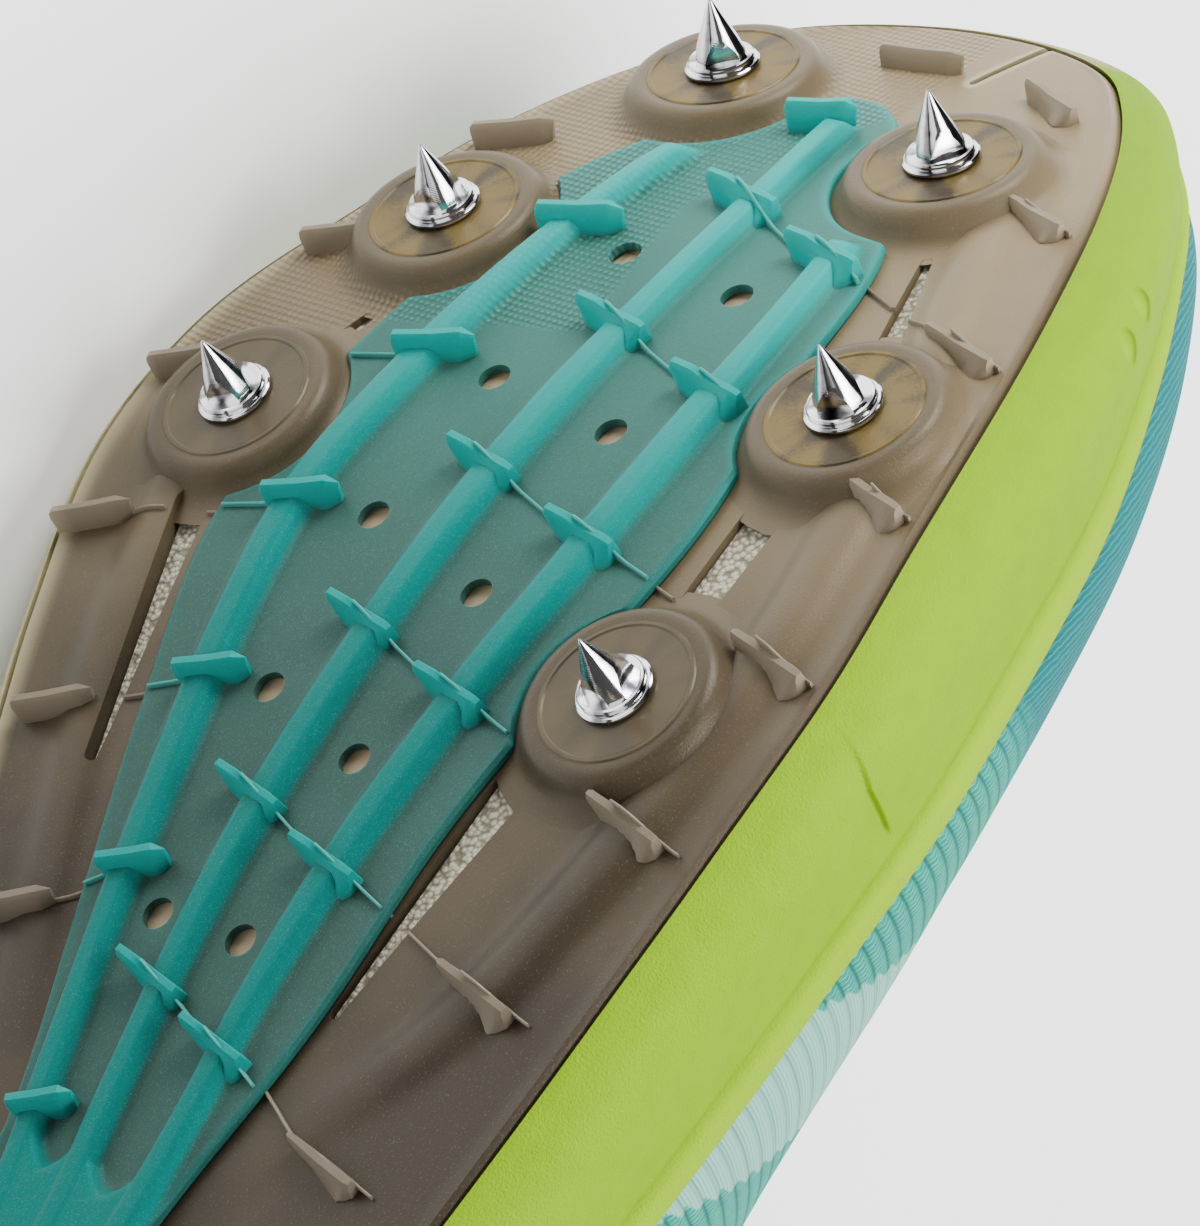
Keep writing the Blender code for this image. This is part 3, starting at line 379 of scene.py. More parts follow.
# Upper: for a station of the sole edge, where its wall ends above and how it gets there
UPPER_OUT = 0.8
UPPER_WALL = 1.6
THROAT_FRONT = 205.0
UPPER_COLUMNS = 220
UPPER_ROWS = 60
UPPER_INSIDE = (150.0, 3.0, 45.0)
WALL_STEPS = 401
WALL_TOP = 0.99
FOOT_SWELL = 0.3
SWELL_RISE = 0.05
TOP_OUTWARD = 6.0
ARM_REACH = 0.5
ARM_RISE = 0.42
TopRow = namedtuple("TopRow", "station top axis gap height lean rise bulge swell")
TOP_LINE = table(
    TopRow,
    (4.0, 9.5, 3.0, 0.0, 97.0, 84.0, 0.42, 1.5, 0.0),
    (8.0, 12.0, 3.0, 10.5, 96.0, 84.0, 0.42, 1.4, 0.0),
    (20.0, 22.0, 3.0, 19.5, 91.5, 83.0, 0.38, 0.8, 0.0),
    (45.0, 45.0, 3.2, 26.0, 82.5, 82.0, 0.36, 0.4, 0.0),
    (75.0, 73.0, 3.6, 28.5, 78.5, 80.0, 0.36, 0.4, 0.0),
    (100.0, 95.0, 3.4, 26.0, 81.5, 66.0, 0.34, 0.8, 0.0),
    (118.0, 113.0, 3.0, 18.5, 86.5, 46.0, 0.30, 1.2, 0.0),
    (130.0, 126.0, 2.4, 13.5, 82.5, 34.0, 0.26, 1.2, 0.0),
    (150.0, 147.0, 1.5, 11.0, 75.5, 28.0, 0.21, 1.0, 0.0),
    (175.0, 173.0, 0.5, 9.0, 68.5, 22.0, 0.17, 1.0, 0.0),
    (198.0, 197.0, -0.5, 5.5, 63.0, 12.0, 0.20, 1.2, 0.3),
    (206.0, 205.0, -1.0, 0.0, 61.0, 0.0, 0.21, 1.3, 0.5),
    (230.0, 227.0, -2.5, 0.0, 56.5, 0.0, 0.26, 1.5, 1.0),
    (255.0, 249.0, -4.0, 0.0, 52.0, 0.0, 0.32, 1.6, 2.0),
    (272.0, 263.0, -5.0, 0.0, 49.3, 0.0, 0.38, 1.6, 1.8),
    (283.0, 272.0, -5.0, 0.0, 48.0, 0.0, 0.42, 1.8, 0.9),
    (288.4, 277.0, -3.5, 0.0, 47.0, 0.0, 0.45, 1.8, 0.0),
)

# Tape round the edge of throat and collar
TAPE_BACK = 1.0
TAPE_COLUMNS = 150
TAPE_SIDES = 14
TAPE_SMOOTHING = 4
TAPE_WIDE = 1.25
TAPE_HIGH = 1.5
TAPE_DROP = 0.7

# Eyelets and lace
EYELET_ROWS = 6
EYELET_FRONT = 194.0
EYELET_PITCH = 13.8
EYELET_IN = 6.0
EYELET_RADIUS = 2.1
EYELET_SIDES = 20
EYELET_REACH = 4.0
LACE_WIDTH = 4.0
LACE_THICK = 1.2
LACE_OVER = 1.0
LACE_SPLAY = 0.19
LACE_BAR_ROW = -0.18
LACE_HUMP = 1.4
LACE_RISE = 0.8
LACE_EDGE_SHARE = 0.22
LACE_TAIL = 2.2
LACE_HOLE = 0.1
LACE_DIP = 0.25
LACE_PATH_STEPS = 25
LACE_RINGS = 44
LACE_SIDES = 14
LACE_SMOOTHING = 3
LACE_NARROW = 0.55
LACE_NARROW_STEPS = 5.0
LACE_SQUARE = (0.55, 0.8)

# Insole: its edge as steps inwards and upwards
INSOLE_IN = 1.6
INSOLE_THICK = 3.0
INSOLE_EDGE = ((0.4, 0.0), (0.1, 0.3), (0.0, 0.9), (0.0, 2.0), (0.15, 2.6), (0.6, INSOLE_THICK))
INSOLE_SHARES = (1.0, 0.66, 0.33)
INSOLE_RINGS = 140

# Lights in the world, and the point of the shoe that they face
LightRow = namedtuple("LightRow", "name place size")
LIGHTS = table(
    LightRow,
    ("key_light", (-0.62, -0.46, 0.36), 0.36), ("top_light", (-0.15, 0.25, 1.05), 0.9),
    ("fill_light", (0.70, -0.75, 0.65), 0.9),
)
LIGHT_AIM = (215.0, 10.0, 5.0)

# Camera in the world: where it stands, and which way its picture runs
CAMERA_EYE = Vector((0.1577, -0.3412, 0.4553))
CAMERA_RIGHT = Vector((-0.49590, 0.52411, 0.69238))
CAMERA_DOWN = Vector((0.77021, 0.63373, 0.07193))
CAMERA_AHEAD = Vector((-0.40108, 0.56895, -0.71794))
SENSOR_HEIGHT = 36.0
CLIP_START = 0.01


# Curves through the tables

def curve(rows, column, key=None):
    """Smooth curve through one column of a table, read by station or by another key."""
    keys = np.array([float(key(row.station)) if key else row.station for row in rows])
    values = np.array([getattr(row, column) for row in rows])
    slopes = np.gradient(values, keys)

    def read(place):
        place = np.clip(place, keys[0], keys[-1])
        i = np.clip(np.searchsorted(keys, place) - 1, 0, len(keys) - 2)
        span = keys[i + 1] - keys[i]
        t = (place - keys[i]) / span
        return ((2 * t**3 - 3 * t**2 + 1) * values[i] + (t**3 - 2 * t**2 + t) * span * slopes[i]
                + (3 * t**2 - 2 * t**3) * values[i + 1] + (t**3 - t**2) * span * slopes[i + 1])
    return read


def ease(low, high, value):
    """Soft step from 0 at low to 1 at high."""
    t = np.clip((value - low) / (high - low), 0.0, 1.0)
    return t * t * (3.0 - 2.0 * t)


def unit(vectors):
    return vectors / np.linalg.norm(vectors, axis=-1, keepdims=True)


class Outline:
    """Closed plan outline with round ends, read by a share s from its heel tip (0) to its toe tip (1)."""

    def __init__(self, rows):
        self.back = rows[0].station
        self.front = rows[-1].station
        self.lateral = curve(rows, "lateral", self.share)
        self.medial = curve(rows, "medial", self.share)

    def share(self, station):
        along = np.clip((station - self.back) / (self.front - self.back), 0.0, 1.0)
        return np.arccos(1.0 - 2.0 * along) / math.pi

    def station(self, s):
        return self.back + (self.front - self.back) * (1.0 - np.cos(math.pi * s)) / 2.0

    def point(self, s, side):
        s, side = np.broadcast_arrays(np.asarray(s, float), side)
        return np.stack([self.station(s), np.where(side > 0, self.lateral(s), self.medial(s))], axis=-1)

    def middle(self, s):
        return (self.point(s, 1) + self.point(s, -1)) / 2.0

    def normal(self, s, side):
        """Outward direction in plan; both sides agree at the two tips."""
        s, side = np.broadcast_arrays(np.asarray(s, float), side)
        step = 0.004
        along = self.point(np.minimum(s + step, 1.0), side) - self.point(np.maximum(s - step, 0.0), side)
        out = unit(np.stack([-along[..., 1], along[..., 0]], axis=-1)) * side[..., None]
        out = np.where((s < step)[..., None], np.array([-1.0, 0.0]), out)
        return np.where((s > 1.0 - step)[..., None], np.array([1.0, 0.0]), out)

    def depth(self, x, y):
        """How far a plan point lies inside the nearer edge, measured across the shoe."""
        s = self.share(x)
        return np.minimum(self.lateral(s) - y, y - self.medial(s))


plate_outline = Outline(PLATE_OUTLINE)
traction_outline = Outline(TRACTION_OUTLINE)
sole_bottom = curve(SOLE, "bottom")
sole_stack = curve(SOLE, "stack")
sole_flare = curve(SOLE, "flare")
side_out = curve(SIDEWALL, "out")
side_share = curve(SIDEWALL, "share")
top_column = {name: curve(TOP_LINE, name, plate_outline.share) for name in TopRow._fields[1:]}
rib_line = {name: curve(RIBS, name) for name in ("medial", "middle", "lateral")}


def sole_top(x):
    return sole_bottom(x) + sole_stack(x)


def ground(x, y, height=0.0):
    """Point at a height out of the ground side of the plate."""
    x, y, height = np.broadcast_arrays(np.asarray(x, float), y, height)
    base = np.stack([x, y, sole_bottom(x)], axis=-1)
    return base + ground_out(x) * height[..., None]


def ground_out(x):
    """Direction out of the ground side of the plate."""
    slope = np.arctan(sole_bottom(x + 0.5) - sole_bottom(x - 0.5))
    return np.stack([np.sin(slope), np.zeros_like(slope), -np.cos(slope)], axis=-1)


def laid(points):
    """World place, in metres, of points of the shoe."""
    points = np.asarray(points, float) * MM
    turned = points[..., :1] * LAID_TOE + points[..., 1:2] * LAID_LATERAL + points[..., 2:] * LAID_UP
    return turned + LAID_ORIGIN


def points_of(mesh):
    flat = np.empty(len(mesh.vertices) * 3)
    mesh.vertices.foreach_get("co", flat)
    return flat.reshape(-1, 3)


def shoe_places(mesh):
    """Places of a mesh's points in the shoe's own frame, in millimetres."""
    turn = np.stack([LAID_TOE, LAID_LATERAL, LAID_UP], axis=1)
    return (points_of(mesh) - LAID_ORIGIN) @ turn / MM


def raised(plan, level, lift):
    """Points above plan points, at a lift over a level that goes by the station."""
    return np.column_stack([plan, level(plan[:, 0]) + lift])


def travelled(line):
    """Distance from the start along a line of points, or along each of several lines side by side."""
    steps = np.linalg.norm(np.diff(line, axis=0), axis=-1)
    return np.concatenate([np.zeros_like(steps[:1]), np.cumsum(steps, axis=0)])


def round_angles(count):
    return np.linspace(0.0, FULL_TURN, count, endpoint=False)


def front_dense(count):
    """Shares of an outline, closer together in the front half."""
    back = int(count * BACK_RING_SHARE)
    rear = np.linspace(0.0, FRONT_HALF, back, endpoint=False)
    return np.concatenate([rear, np.linspace(FRONT_HALF, 1.0, count - back)])


# Mesh work

def clear_selection():
    if bpy.context.object and bpy.context.object.mode != "OBJECT":
        bpy.ops.object.mode_set(mode="OBJECT")
    bpy.ops.object.select_all(action="DESELECT")


def make_active(piece):
    clear_selection()
    piece.select_set(True)
    bpy.context.view_layer.objects.active = piece


def named(piece, name):
    piece.name = name
    piece.data.name = name
    return piece


def looks_inwards(mesh):
    """Whether the faces of a closed mesh point inwards, from the sign of its volume."""
    mesh.calc_loop_triangles()
    corners = np.empty(len(mesh.loop_triangles) * 3, np.int32)
    mesh.loop_triangles.foreach_get("vertices", corners)
    first, second, third = points_of(mesh)[corners.reshape(-1, 3)].transpose(1, 0, 2)
    return float(np.sum(first * np.cross(second, third))) < 0.0


def close_up(piece, cap=False, outward=True):
    """Merges what meets, closes open ends where asked, and turns the faces outwards."""
    make_active(piece)
    bpy.ops.object.mode_set(mode="EDIT")
    bpy.ops.mesh.select_all(action="SELECT")
    bpy.ops.mesh.remove_doubles(threshold=MERGE_DISTANCE)
    if cap:
        bpy.ops.mesh.select_all(action="DESELECT")
        bpy.ops.mesh.select_mode(type="EDGE")
        bpy.ops.mesh.select_non_manifold()
        bpy.ops.mesh.fill_holes(sides=0)
        bpy.ops.mesh.select_mode(type="VERT")
    bpy.ops.mesh.select_all(action="SELECT")
    if outward:
        bpy.ops.mesh.normals_make_consistent(inside=False)
    bpy.ops.object.mode_set(mode="OBJECT")
    if outward and looks_inwards(piece.data):
        bpy.ops.object.mode_set(mode="EDIT")
        bpy.ops.mesh.flip_normals()
        bpy.ops.object.mode_set(mode="OBJECT")


def skin(name, rings, wrap=False, cap=False, values=None, outward=True):
    """Surface from a grid set on rows of points of the shoe; a wrapped one closes round its rows."""
    rings = np.asarray(rings, float)
    if wrap:
        rings = np.concatenate([rings, rings[:, :1]], axis=1)
    rows, across = rings.shape[:2]
    clear_selection()
    bpy.ops.mesh.primitive_grid_add(x_subdivisions=rows - 1, y_subdivisions=across - 1, size=1.0)
    piece = named(bpy.context.active_object, name)
    mesh = piece.data
    if len(mesh.vertices) != rows * across:
        raise RuntimeError("grid of %s has %d points, not %d" % (name, len(mesh.vertices), rows * across))
    grid = points_of(mesh)
    i = np.rint((grid[:, 0] + 0.5) * (rows - 1)).astype(int)
    j = np.rint((grid[:, 1] + 0.5) * (across - 1)).astype(int)
    places = laid(rings[i, j])
    places[:, 2] = np.maximum(places[:, 2], FLOOR_CLEAR)
    mesh.vertices.foreach_set("co", places.ravel())
    for key, value in (values or {}).items():
        value = np.asarray(value, float)
        if wrap:
            value = np.concatenate([value, value[:, :1]], axis=1)
        store(mesh, key, value[i, j])
    mesh.update()
    close_up(piece, cap, outward)
    return piece


def store(mesh, name, value):
    """Keeps a number or vector for each point of a mesh, or one number for all, for its material to read."""
    value = np.asarray(value, float)
    if value.ndim == 0:
        value = np.full(len(mesh.vertices), value)
    kind = "FLOAT" if value.ndim == 1 else "FLOAT_VECTOR"
    layer = mesh.attributes.get(name) or mesh.attributes.new(name, kind, "POINT")
    layer.data.foreach_set("value" if kind == "FLOAT" else "vector", value.ravel())


def join(name, pieces):
    make_active(pieces[0])
    for piece in pieces:
        piece.select_set(True)
    bpy.ops.object.join()
    return named(bpy.context.active_object, name)


def cut(piece, tools):
    """Takes closed tools out of a closed piece and deletes them."""
    tool = join(piece.name + "_tool", tools) if len(tools) > 1 else tools[0]
    change = piece.modifiers.new("cut", "BOOLEAN")
    change.operation = "DIFFERENCE"
    change.solver = "EXACT"
    change.object = tool
    make_active(piece)
    bpy.ops.object.modifier_apply(modifier=change.name)
    bpy.data.objects.remove(tool, do_unlink=True)


def finish_piece(piece, material, nodes, angle):
    """Gives a piece its material, place values and shading, and makes it ride on the shoe."""
    store(piece.data, "place", shoe_places(piece.data))
    if material:
        piece.data.materials.clear()
        piece.data.materials.append(material)
    make_active(piece)
    bpy.ops.object.shade_smooth_by_angle(angle=math.radians(angle))
    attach(piece, "root")
    if nodes:
        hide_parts(*nodes)


def lathe(name, profile, sides):
    """Turned shape about the Z axis: a disc extruded and scaled from step to step, in millimetres."""
    clear_selection()
    first = profile[0]
    bpy.ops.mesh.primitive_circle_add(vertices=sides, radius=first.radius, fill_type="NGON",
                                      location=(0.0, 0.0, first.height))
    piece = named(bpy.context.active_object, name)
    bpy.ops.object.transform_apply(location=True)
    bpy.ops.object.mode_set(mode="EDIT")
    bpy.ops.mesh.select_all(action="SELECT")
    for last, row in zip(profile, profile[1:]):
        rise = row.height - last.height
        bpy.ops.mesh.extrude_region_move(TRANSFORM_OT_translate={"value": (0.0, 0.0, rise)})
        grow = row.radius / last.radius
        bpy.ops.transform.resize(value=(grow, grow, 1.0), center_override=(0.0, 0.0, row.height))
    bpy.ops.object.mode_set(mode="OBJECT")
    return piece


def set_on_plate(piece, x, y, turn=0.0, lift=0.0):
    """Moves the points of a turned shape, in millimetres about Z, to their place on the plate."""
    out = ground_out(x)
    along = np.cross(ACROSS, out)
    mesh = piece.data
    local = points_of(mesh)
    angle = math.radians(turn)
    first = local[:, 0] * math.cos(angle) - local[:, 1] * math.sin(angle)
    second = local[:, 0] * math.sin(angle) + local[:, 1] * math.cos(angle)
    store(mesh, "turning", np.stack([first, second, local[:, 2]], axis=1))
    placed = ground(x, y) + first[:, None] * along + second[:, None] * ACROSS + (local[:, 2:] + lift) * out
    mesh.vertices.foreach_set("co", laid(placed).ravel())
    mesh.update()
    close_up(piece)


def copy_of(piece, name):
    made = piece.copy()
    made.data = piece.data.copy()
    bpy.context.collection.objects.link(named(made, name))
    return made


# Sole shapes

def sidewall_relief(station, share):
    """How far the lateral sidewall stands in: oval dimples, and a crease that fades behind and below."""
    relief = np.zeros_like(station)
    for row in DIMPLES:
        across = (station - row.station) / row.half_length
        away = np.hypot(across, (share - row.share) / row.half_share)
        relief = relief - DIMPLE_DEPTH * (1.0 - ease(*DIMPLE_EDGE, away))
    behind = CREASE_STATION + CREASE_LEAN * np.maximum(CREASE_SHARE - share, 0.0) - station
    depth = np.clip(1.0 - behind / CREASE_RUN, 0.0, 1.0) * ease(0.0, CREASE_LIP, behind)
    depth = depth * ease(*CREASE_LOW_END, share) * (1.0 - ease(*CREASE_HIGH_END, share))
    return relief - CREASE_DEPTH * depth


def sole_section(s, side):
    """Half section of the foam at each share: bed under the plate, its wall, the sidewall and the top."""
    edge = plate_outline.point(s, side)
    out = plate_outline.normal(s, side)
    middle = plate_outline.middle(s)
    bed = edge + out * BED_CLEAR
    points = []
    for f in np.linspace(0.0, 1.0, BED_STEPS):
        points.append(raised(middle + (bed - middle) * f, sole_bottom, PLATE_THICK + GAP))
    points.append(raised(bed, sole_bottom, BED_WALL_FOOT))
    flare = sole_flare(edge[:, 0])
    tuck = ease(*MEDIAL_TUCK_BACK, edge[:, 0]) * (1.0 - ease(*MEDIAL_TUCK_FRONT, edge[:, 0]))
    for t in np.linspace(0.0, 1.0, SIDEWALL_STEPS):
        share = side_share(t)
        reach = side_out(t) * flare
        if side > 0:
            reach = reach + sidewall_relief(edge[:, 0], np.full_like(flare, share))
        else:
            reach = reach * (1.0 - MEDIAL_TUCK * tuck)
        plan = edge + out * reach[:, None]
        points.append(raised(plan, sole_bottom, share * sole_stack(plan[:, 0])))
    rim = edge + out * (side_out(1.0) * flare)[:, None]
    for f in SIDEWALL_TOP_STEPS:
        points.append(raised(rim + (middle - rim) * f, sole_top, 0.0))
    return points


def closed_sections(lateral, medial):
    """Rings from two half sections that meet in the middle below and above."""
    return np.stack(lateral + medial[-2:0:-1], axis=1)


def plate_relief(x, y):
    """Raised rails along both edges and the rounded rim of the plate."""
    s = plate_outline.share(x)
    relief = np.zeros_like(x)
    edges = (plate_outline.lateral(s) - y, y - plate_outline.medial(s))
    for rows, edge in zip((LATERAL_RAIL, MEDIAL_RAIL), edges):
        inset = curve(rows, "inset")(x)
        height = curve(rows, "height")(x)
        relief = relief + height * np.exp(-np.abs((edge - inset) / RAIL_HALF_WIDTH)**3)
        relief = relief + RIM_HEIGHT * (1.0 - ease(*RIM_EDGE, edge)) * ease(*RIM_BACK, x)
    return relief


def plate_rings():
    """Rings across the plate: its ground side, the lateral edge, the back and the medial edge."""
    s = front_dense(PLATE_RINGS)
    edge = {side: plate_outline.point(s, side) for side in (1, -1)}
    out = {side: plate_outline.normal(s, side) for side in (1, -1)}
    lateral, medial = [edge[side] - out[side] * PLATE_CHAMFER for side in (1, -1)]
    points = []
    for f in np.linspace(0.0, 1.0, PLATE_COLUMNS):
        plan = medial + (lateral - medial) * f
        points.append(ground(plan[:, 0], plan[:, 1], plate_relief(plan[:, 0], plan[:, 1])))
    for reach, up in PLATE_EDGE:
        points.append(raised(edge[1] + out[1] * reach, sole_bottom, up))
    for f in PLATE_BACK_SHARES:
        points.append(raised(edge[1] + (edge[-1] - edge[1]) * f, sole_bottom, PLATE_THICK))
    for reach, up in reversed(PLATE_EDGE):
        points.append(raised(edge[-1] + out[-1] * reach, sole_bottom, up))
    return np.stack(points, axis=1)


def slot_ends(row):
    return np.array([row.front_x, row.front_y]), np.array([row.back_x, row.back_y])


def beside_slot(plan, row):
    """Distance of plan points from the middle line of a slot, and their share along it."""
    front, back = slot_ends(row)
    run = front - back
    share = np.clip(((plan - back) @ run) / np.dot(run, run), 0.0, 1.0)
    return np.linalg.norm(plan - (back + share[:, None] * run), axis=1), share


def slot_block(name, row, span, wider=0.0):
    """Closed block with round ends along a slot, between two heights."""
    front, back = slot_ends(row)
    way = unit(front - back)
    across = np.array([-way[1], way[0]])
    loop = []
    for centre, width, start in ((front, row.front_width, -90.0), (back, row.back_width, 90.0)):
        for angle in np.radians(np.linspace(start, start + 180.0, SLOT_END_STEPS)):
            spoke = way * math.cos(angle) + across * math.sin(angle)
            loop.append(centre + spoke * (width + wider) / 2.0)
    loop = np.array(loop)
    rings = [ground(loop[:, 0], loop[:, 1], height) for height in span]
    return skin(name, rings, wrap=True, cap=True)


def boss(row):
    """Domed ring round a spike; its foot follows the plate and its top is flat."""
    angle = round_angles(BOSS_SIDES)
    along = np.cross(ACROSS, ground_out(row.x))
    rings = []
    for step in BOSS_PROFILE:
        x = row.x + step.radius * np.cos(angle) * along[0]
        y = row.y + step.radius * np.sin(angle)
        flat = ground(row.x, row.y, step.height) + np.outer(step.radius * np.cos(angle), along)
        flat[:, 1] += step.radius * np.sin(angle)
        share = float(ease(0.0, BOSS_HEIGHT, step.height))
        ring = ground(x, y, step.height) * (1.0 - share) + flat * share
        past = np.maximum(BOSS_INSET - plate_outline.depth(ring[:, 0], ring[:, 1]), 0.0)
        ring[:, 1] -= past * math.copysign(1.0, row.y)
        rings.append(ring)
    return skin("boss_" + row.letter, rings, wrap=True, cap=True)


def blade(name, fin, height, base_height):
    """Fin with flat sides and a chamfered crest, from its medial to its lateral end."""
    shape = CHISEL if fin.turn < 0 else BAR
    lean = math.radians(fin.turn)
    base = ground(fin.x, fin.y)
    out = ground_out(fin.x)
    line = np.array([math.sin(lean), math.cos(lean), 0.0])
    line[2] = float(sole_bottom(fin.x + line[0]) - sole_bottom(fin.x - line[0])) / 2.0
    line = unit(line)
    thick = np.cross(out, line)
    ends = [row.station for row in shape.rows]
    stations = np.unique(np.concatenate([np.linspace(0.0, 1.0, FIN_STEPS), ends]))
    columns = [[getattr(row, column) for row in shape.rows] for column in ("height", "heel", "toe")]
    flare = min(max((height - base_height) / FIN_FULL_RISE, FIN_LEAST_FLARE), 1.0)
    root = base_height - FIN_ROOT
    rings = []
    for t, share, heel, toe in zip(stations, *[np.interp(stations, ends, column) for column in columns]):
        heel = heel * flare
        top = max(share * height, base_height + FIN_LEAST_RISE)
        crest = min(CREST_REACH, heel * CREST_SHARE)
        section = [(-heel, root), (-heel, base_height), (-crest, top - CREST_FALL), (CREST_FLAT - crest, top),
                   (toe * TOE_CREST, top), (toe * TOE_CHAMFER, top - TOE_FALL), (toe, base_height),
                   (toe, root)]
        slant = shape.lateral_slant * t - shape.medial_slant * (1.0 - t)
        ring = []
        for a, b in section:
            shift = slant * max(b - base_height, 0.0)
            ring.append(base + line * ((t - 0.5) * fin.length + shift) + thick * a + out * b)
        rings.append(ring)
    return skin(name, rings, wrap=True, cap=True)


def fin_places(line):
    """Fins of a line, front to back.

    From one to the next they get shorter by shrink and turn by swing. Behind the straight ones each stands
    further in by drift. The last one stands back by late.
    """
    fins = []
    for row in range(line.count):
        x = line.front - line.pitch * row
        if row == line.count - 1:
            x -= line.late
        if line.inset:
            side = 1 if line.name == "lateral" else -1
            edge = float(plate_outline.point(plate_outline.share(x), side)[1])
            y = edge - side * (line.inset + line.drift * max(row + 1 - EDGE_FIN_STRAIGHT, 0))
        else:
            y = float(rib_line[line.name](x)) + line.aside
        fins.append(Fin(x, y, line.length - line.shrink * row, line.turn + line.swing * row))
    return fins


rib_fins = {line.name: fin_places(line) for line in RIB_FINS}
edge_fins = {line.name: fin_places(line) for line in EDGE_FINS}


def fin_point(fin, share, toward_toe=0.0):
    """Plan point along a fin, from its medial (0) to its lateral end (1)."""
    lean = math.radians(fin.turn)
    along = np.array([math.sin(lean), math.cos(lean)])
    toe = np.array([along[1], -along[0]])
    return np.array([fin.x, fin.y]) + (share - 0.5) * fin.length * along + toward_toe * toe


def hole_places():
    """Middles of the holes, two in each row."""
    places = []
    for row in HOLES:
        for a, b, x in (("medial", "middle", row.medial), ("middle", "lateral", row.lateral)):
            places.append((x, float(rib_line[a](x) + rib_line[b](x)) / 2.0))
    return places


def over_sheet(plan):
    """Which plan points lie on the traction sheet."""
    x, y = plan.T
    medial, lateral = traction_limits(x)
    inside = (x > traction_outline.back) & (x < traction_outline.front)
    return inside & (y > medial + LINE_SHEET_CLEAR) & (y < lateral - LINE_SHEET_CLEAR)


def inside_edge(plan):
    """Which plan points lie clear of the plate's edge."""
    return plate_outline.depth(*plan.T) > LINE_EDGE_CLEAR


def free_runs(free):
    """Stretches of three or more free points, as their numbers."""
    groups = np.split(np.arange(len(free)), np.flatnonzero(np.diff(free.astype(int))) + 1)
    return [group for group in groups if free[group[0]] and len(group) > 2]


def traced_line(name, start, end, base_height, high=LINE_HEIGHT, fall=1.0, keep=None):
    """Thin raised line, high on its fin and low beyond it; stretches over a boss or a slot are left out."""
    span = np.linalg.norm(end - start)
    shares = np.linspace(0.0, 1.0, max(int(span / LINE_STEP), 3) + 1)
    plan = start + (end - start) * shares[:, None]
    tops = LINE_HEIGHT + (high - LINE_HEIGHT) * (1.0 - ease(LINE_FALL_START * fall, fall, span * shares))
    free = keep(plan) if keep else np.ones(len(plan), bool)
    for row in SPIKES:
        free &= np.hypot(plan[:, 0] - row.x, plan[:, 1] - row.y) > LINE_BOSS_CLEAR
    for row in SLOTS:
        distance, share = beside_slot(plan, row)
        free &= distance > (row.back_width + (row.front_width - row.back_width) * share) / 2.0
    across = unit(np.array([start[1] - end[1], end[0] - start[0]]))
    side = LINE_WIDTH / 2.0
    foot = side * LINE_FOOT
    made = []
    for run in free_runs(free):
        rings = []
        for (x, y), top in zip(plan[run], tops[run]):
            rise = base_height or float(plate_relief(x, y))
            low, shoulder = rise - LINE_ROOT, rise + top - LINE_ROUND
            section = [(-foot, low), (-side, shoulder), (0.0, rise + top), (side, shoulder), (foot, low)]
            rings.append([ground(x + across[0] * a, y + across[1] * a, b) for a, b in section])
        made.append(skin("%s_%d" % (name, len(made)), rings, wrap=True, cap=True))
    return made


def traction_limits(x):
    """Medial and lateral edges of the traction sheet, scalloped round the bosses."""
    s = traction_outline.share(x)
    medial, lateral = traction_outline.medial(s), traction_outline.lateral(s)
    for row in SPIKES:
        reach = np.sqrt(np.maximum(SCALLOP_RADIUS**2 - (x - row.x)**2, 0.0))
        near = np.abs(x - row.x) < SCALLOP_RADIUS
        if row.y > 0:
            lateral = np.where(near, np.minimum(lateral, row.y - reach), lateral)
        else:
            medial = np.where(near, np.maximum(medial, row.y + reach), medial)
    return medial, np.maximum(lateral, medial + SHEET_LEAST)


def traction_height(x, y):
    """Height of ribs and hub over the traction sheet."""
    spread = 1.0 + RIB_SWELL * ease(*RIB_SWELL_BACK, x) * (1.0 - ease(*RIB_SWELL_FRONT, x))
    away = {name: np.abs(y - rib_line[name](x)) / spread for name in rib_line}
    height = np.zeros_like(x)
    for name, distance in away.items():
        end = RIB_FRONT[name]
        fade = 1.0 - ease(end - RIB_END_BACK, end + RIB_END_FRONT, x)
        crown = RIB_CROWN * np.maximum(1.0 - (distance / RIB_CROWN_HALF)**2, 0.0)
        rib = RIB_HEIGHT * (1.0 - ease(RIB_CORE, RIB_FOOT, distance)) + crown
        height = np.maximum(height, rib * fade * ease(*RIB_START, x))
    nearest = np.min(list(away.values()), axis=0)
    front = HUB_FRONT + HUB_REACH * (1.0 - np.clip(nearest / HUB_WEB, 0.0, 1.0))**2
    inside = ease(*HUB_SIDE, np.minimum(y - rib_line["medial"](x), rib_line["lateral"](x) - y))
    back = ease(HUB_BACK - HUB_BACK_FADE, HUB_BACK + HUB_BACK_FADE, x)
    return np.maximum(height, RIB_HEIGHT * (1.0 - ease(front, front + HUB_FALL, x)) * inside * back)


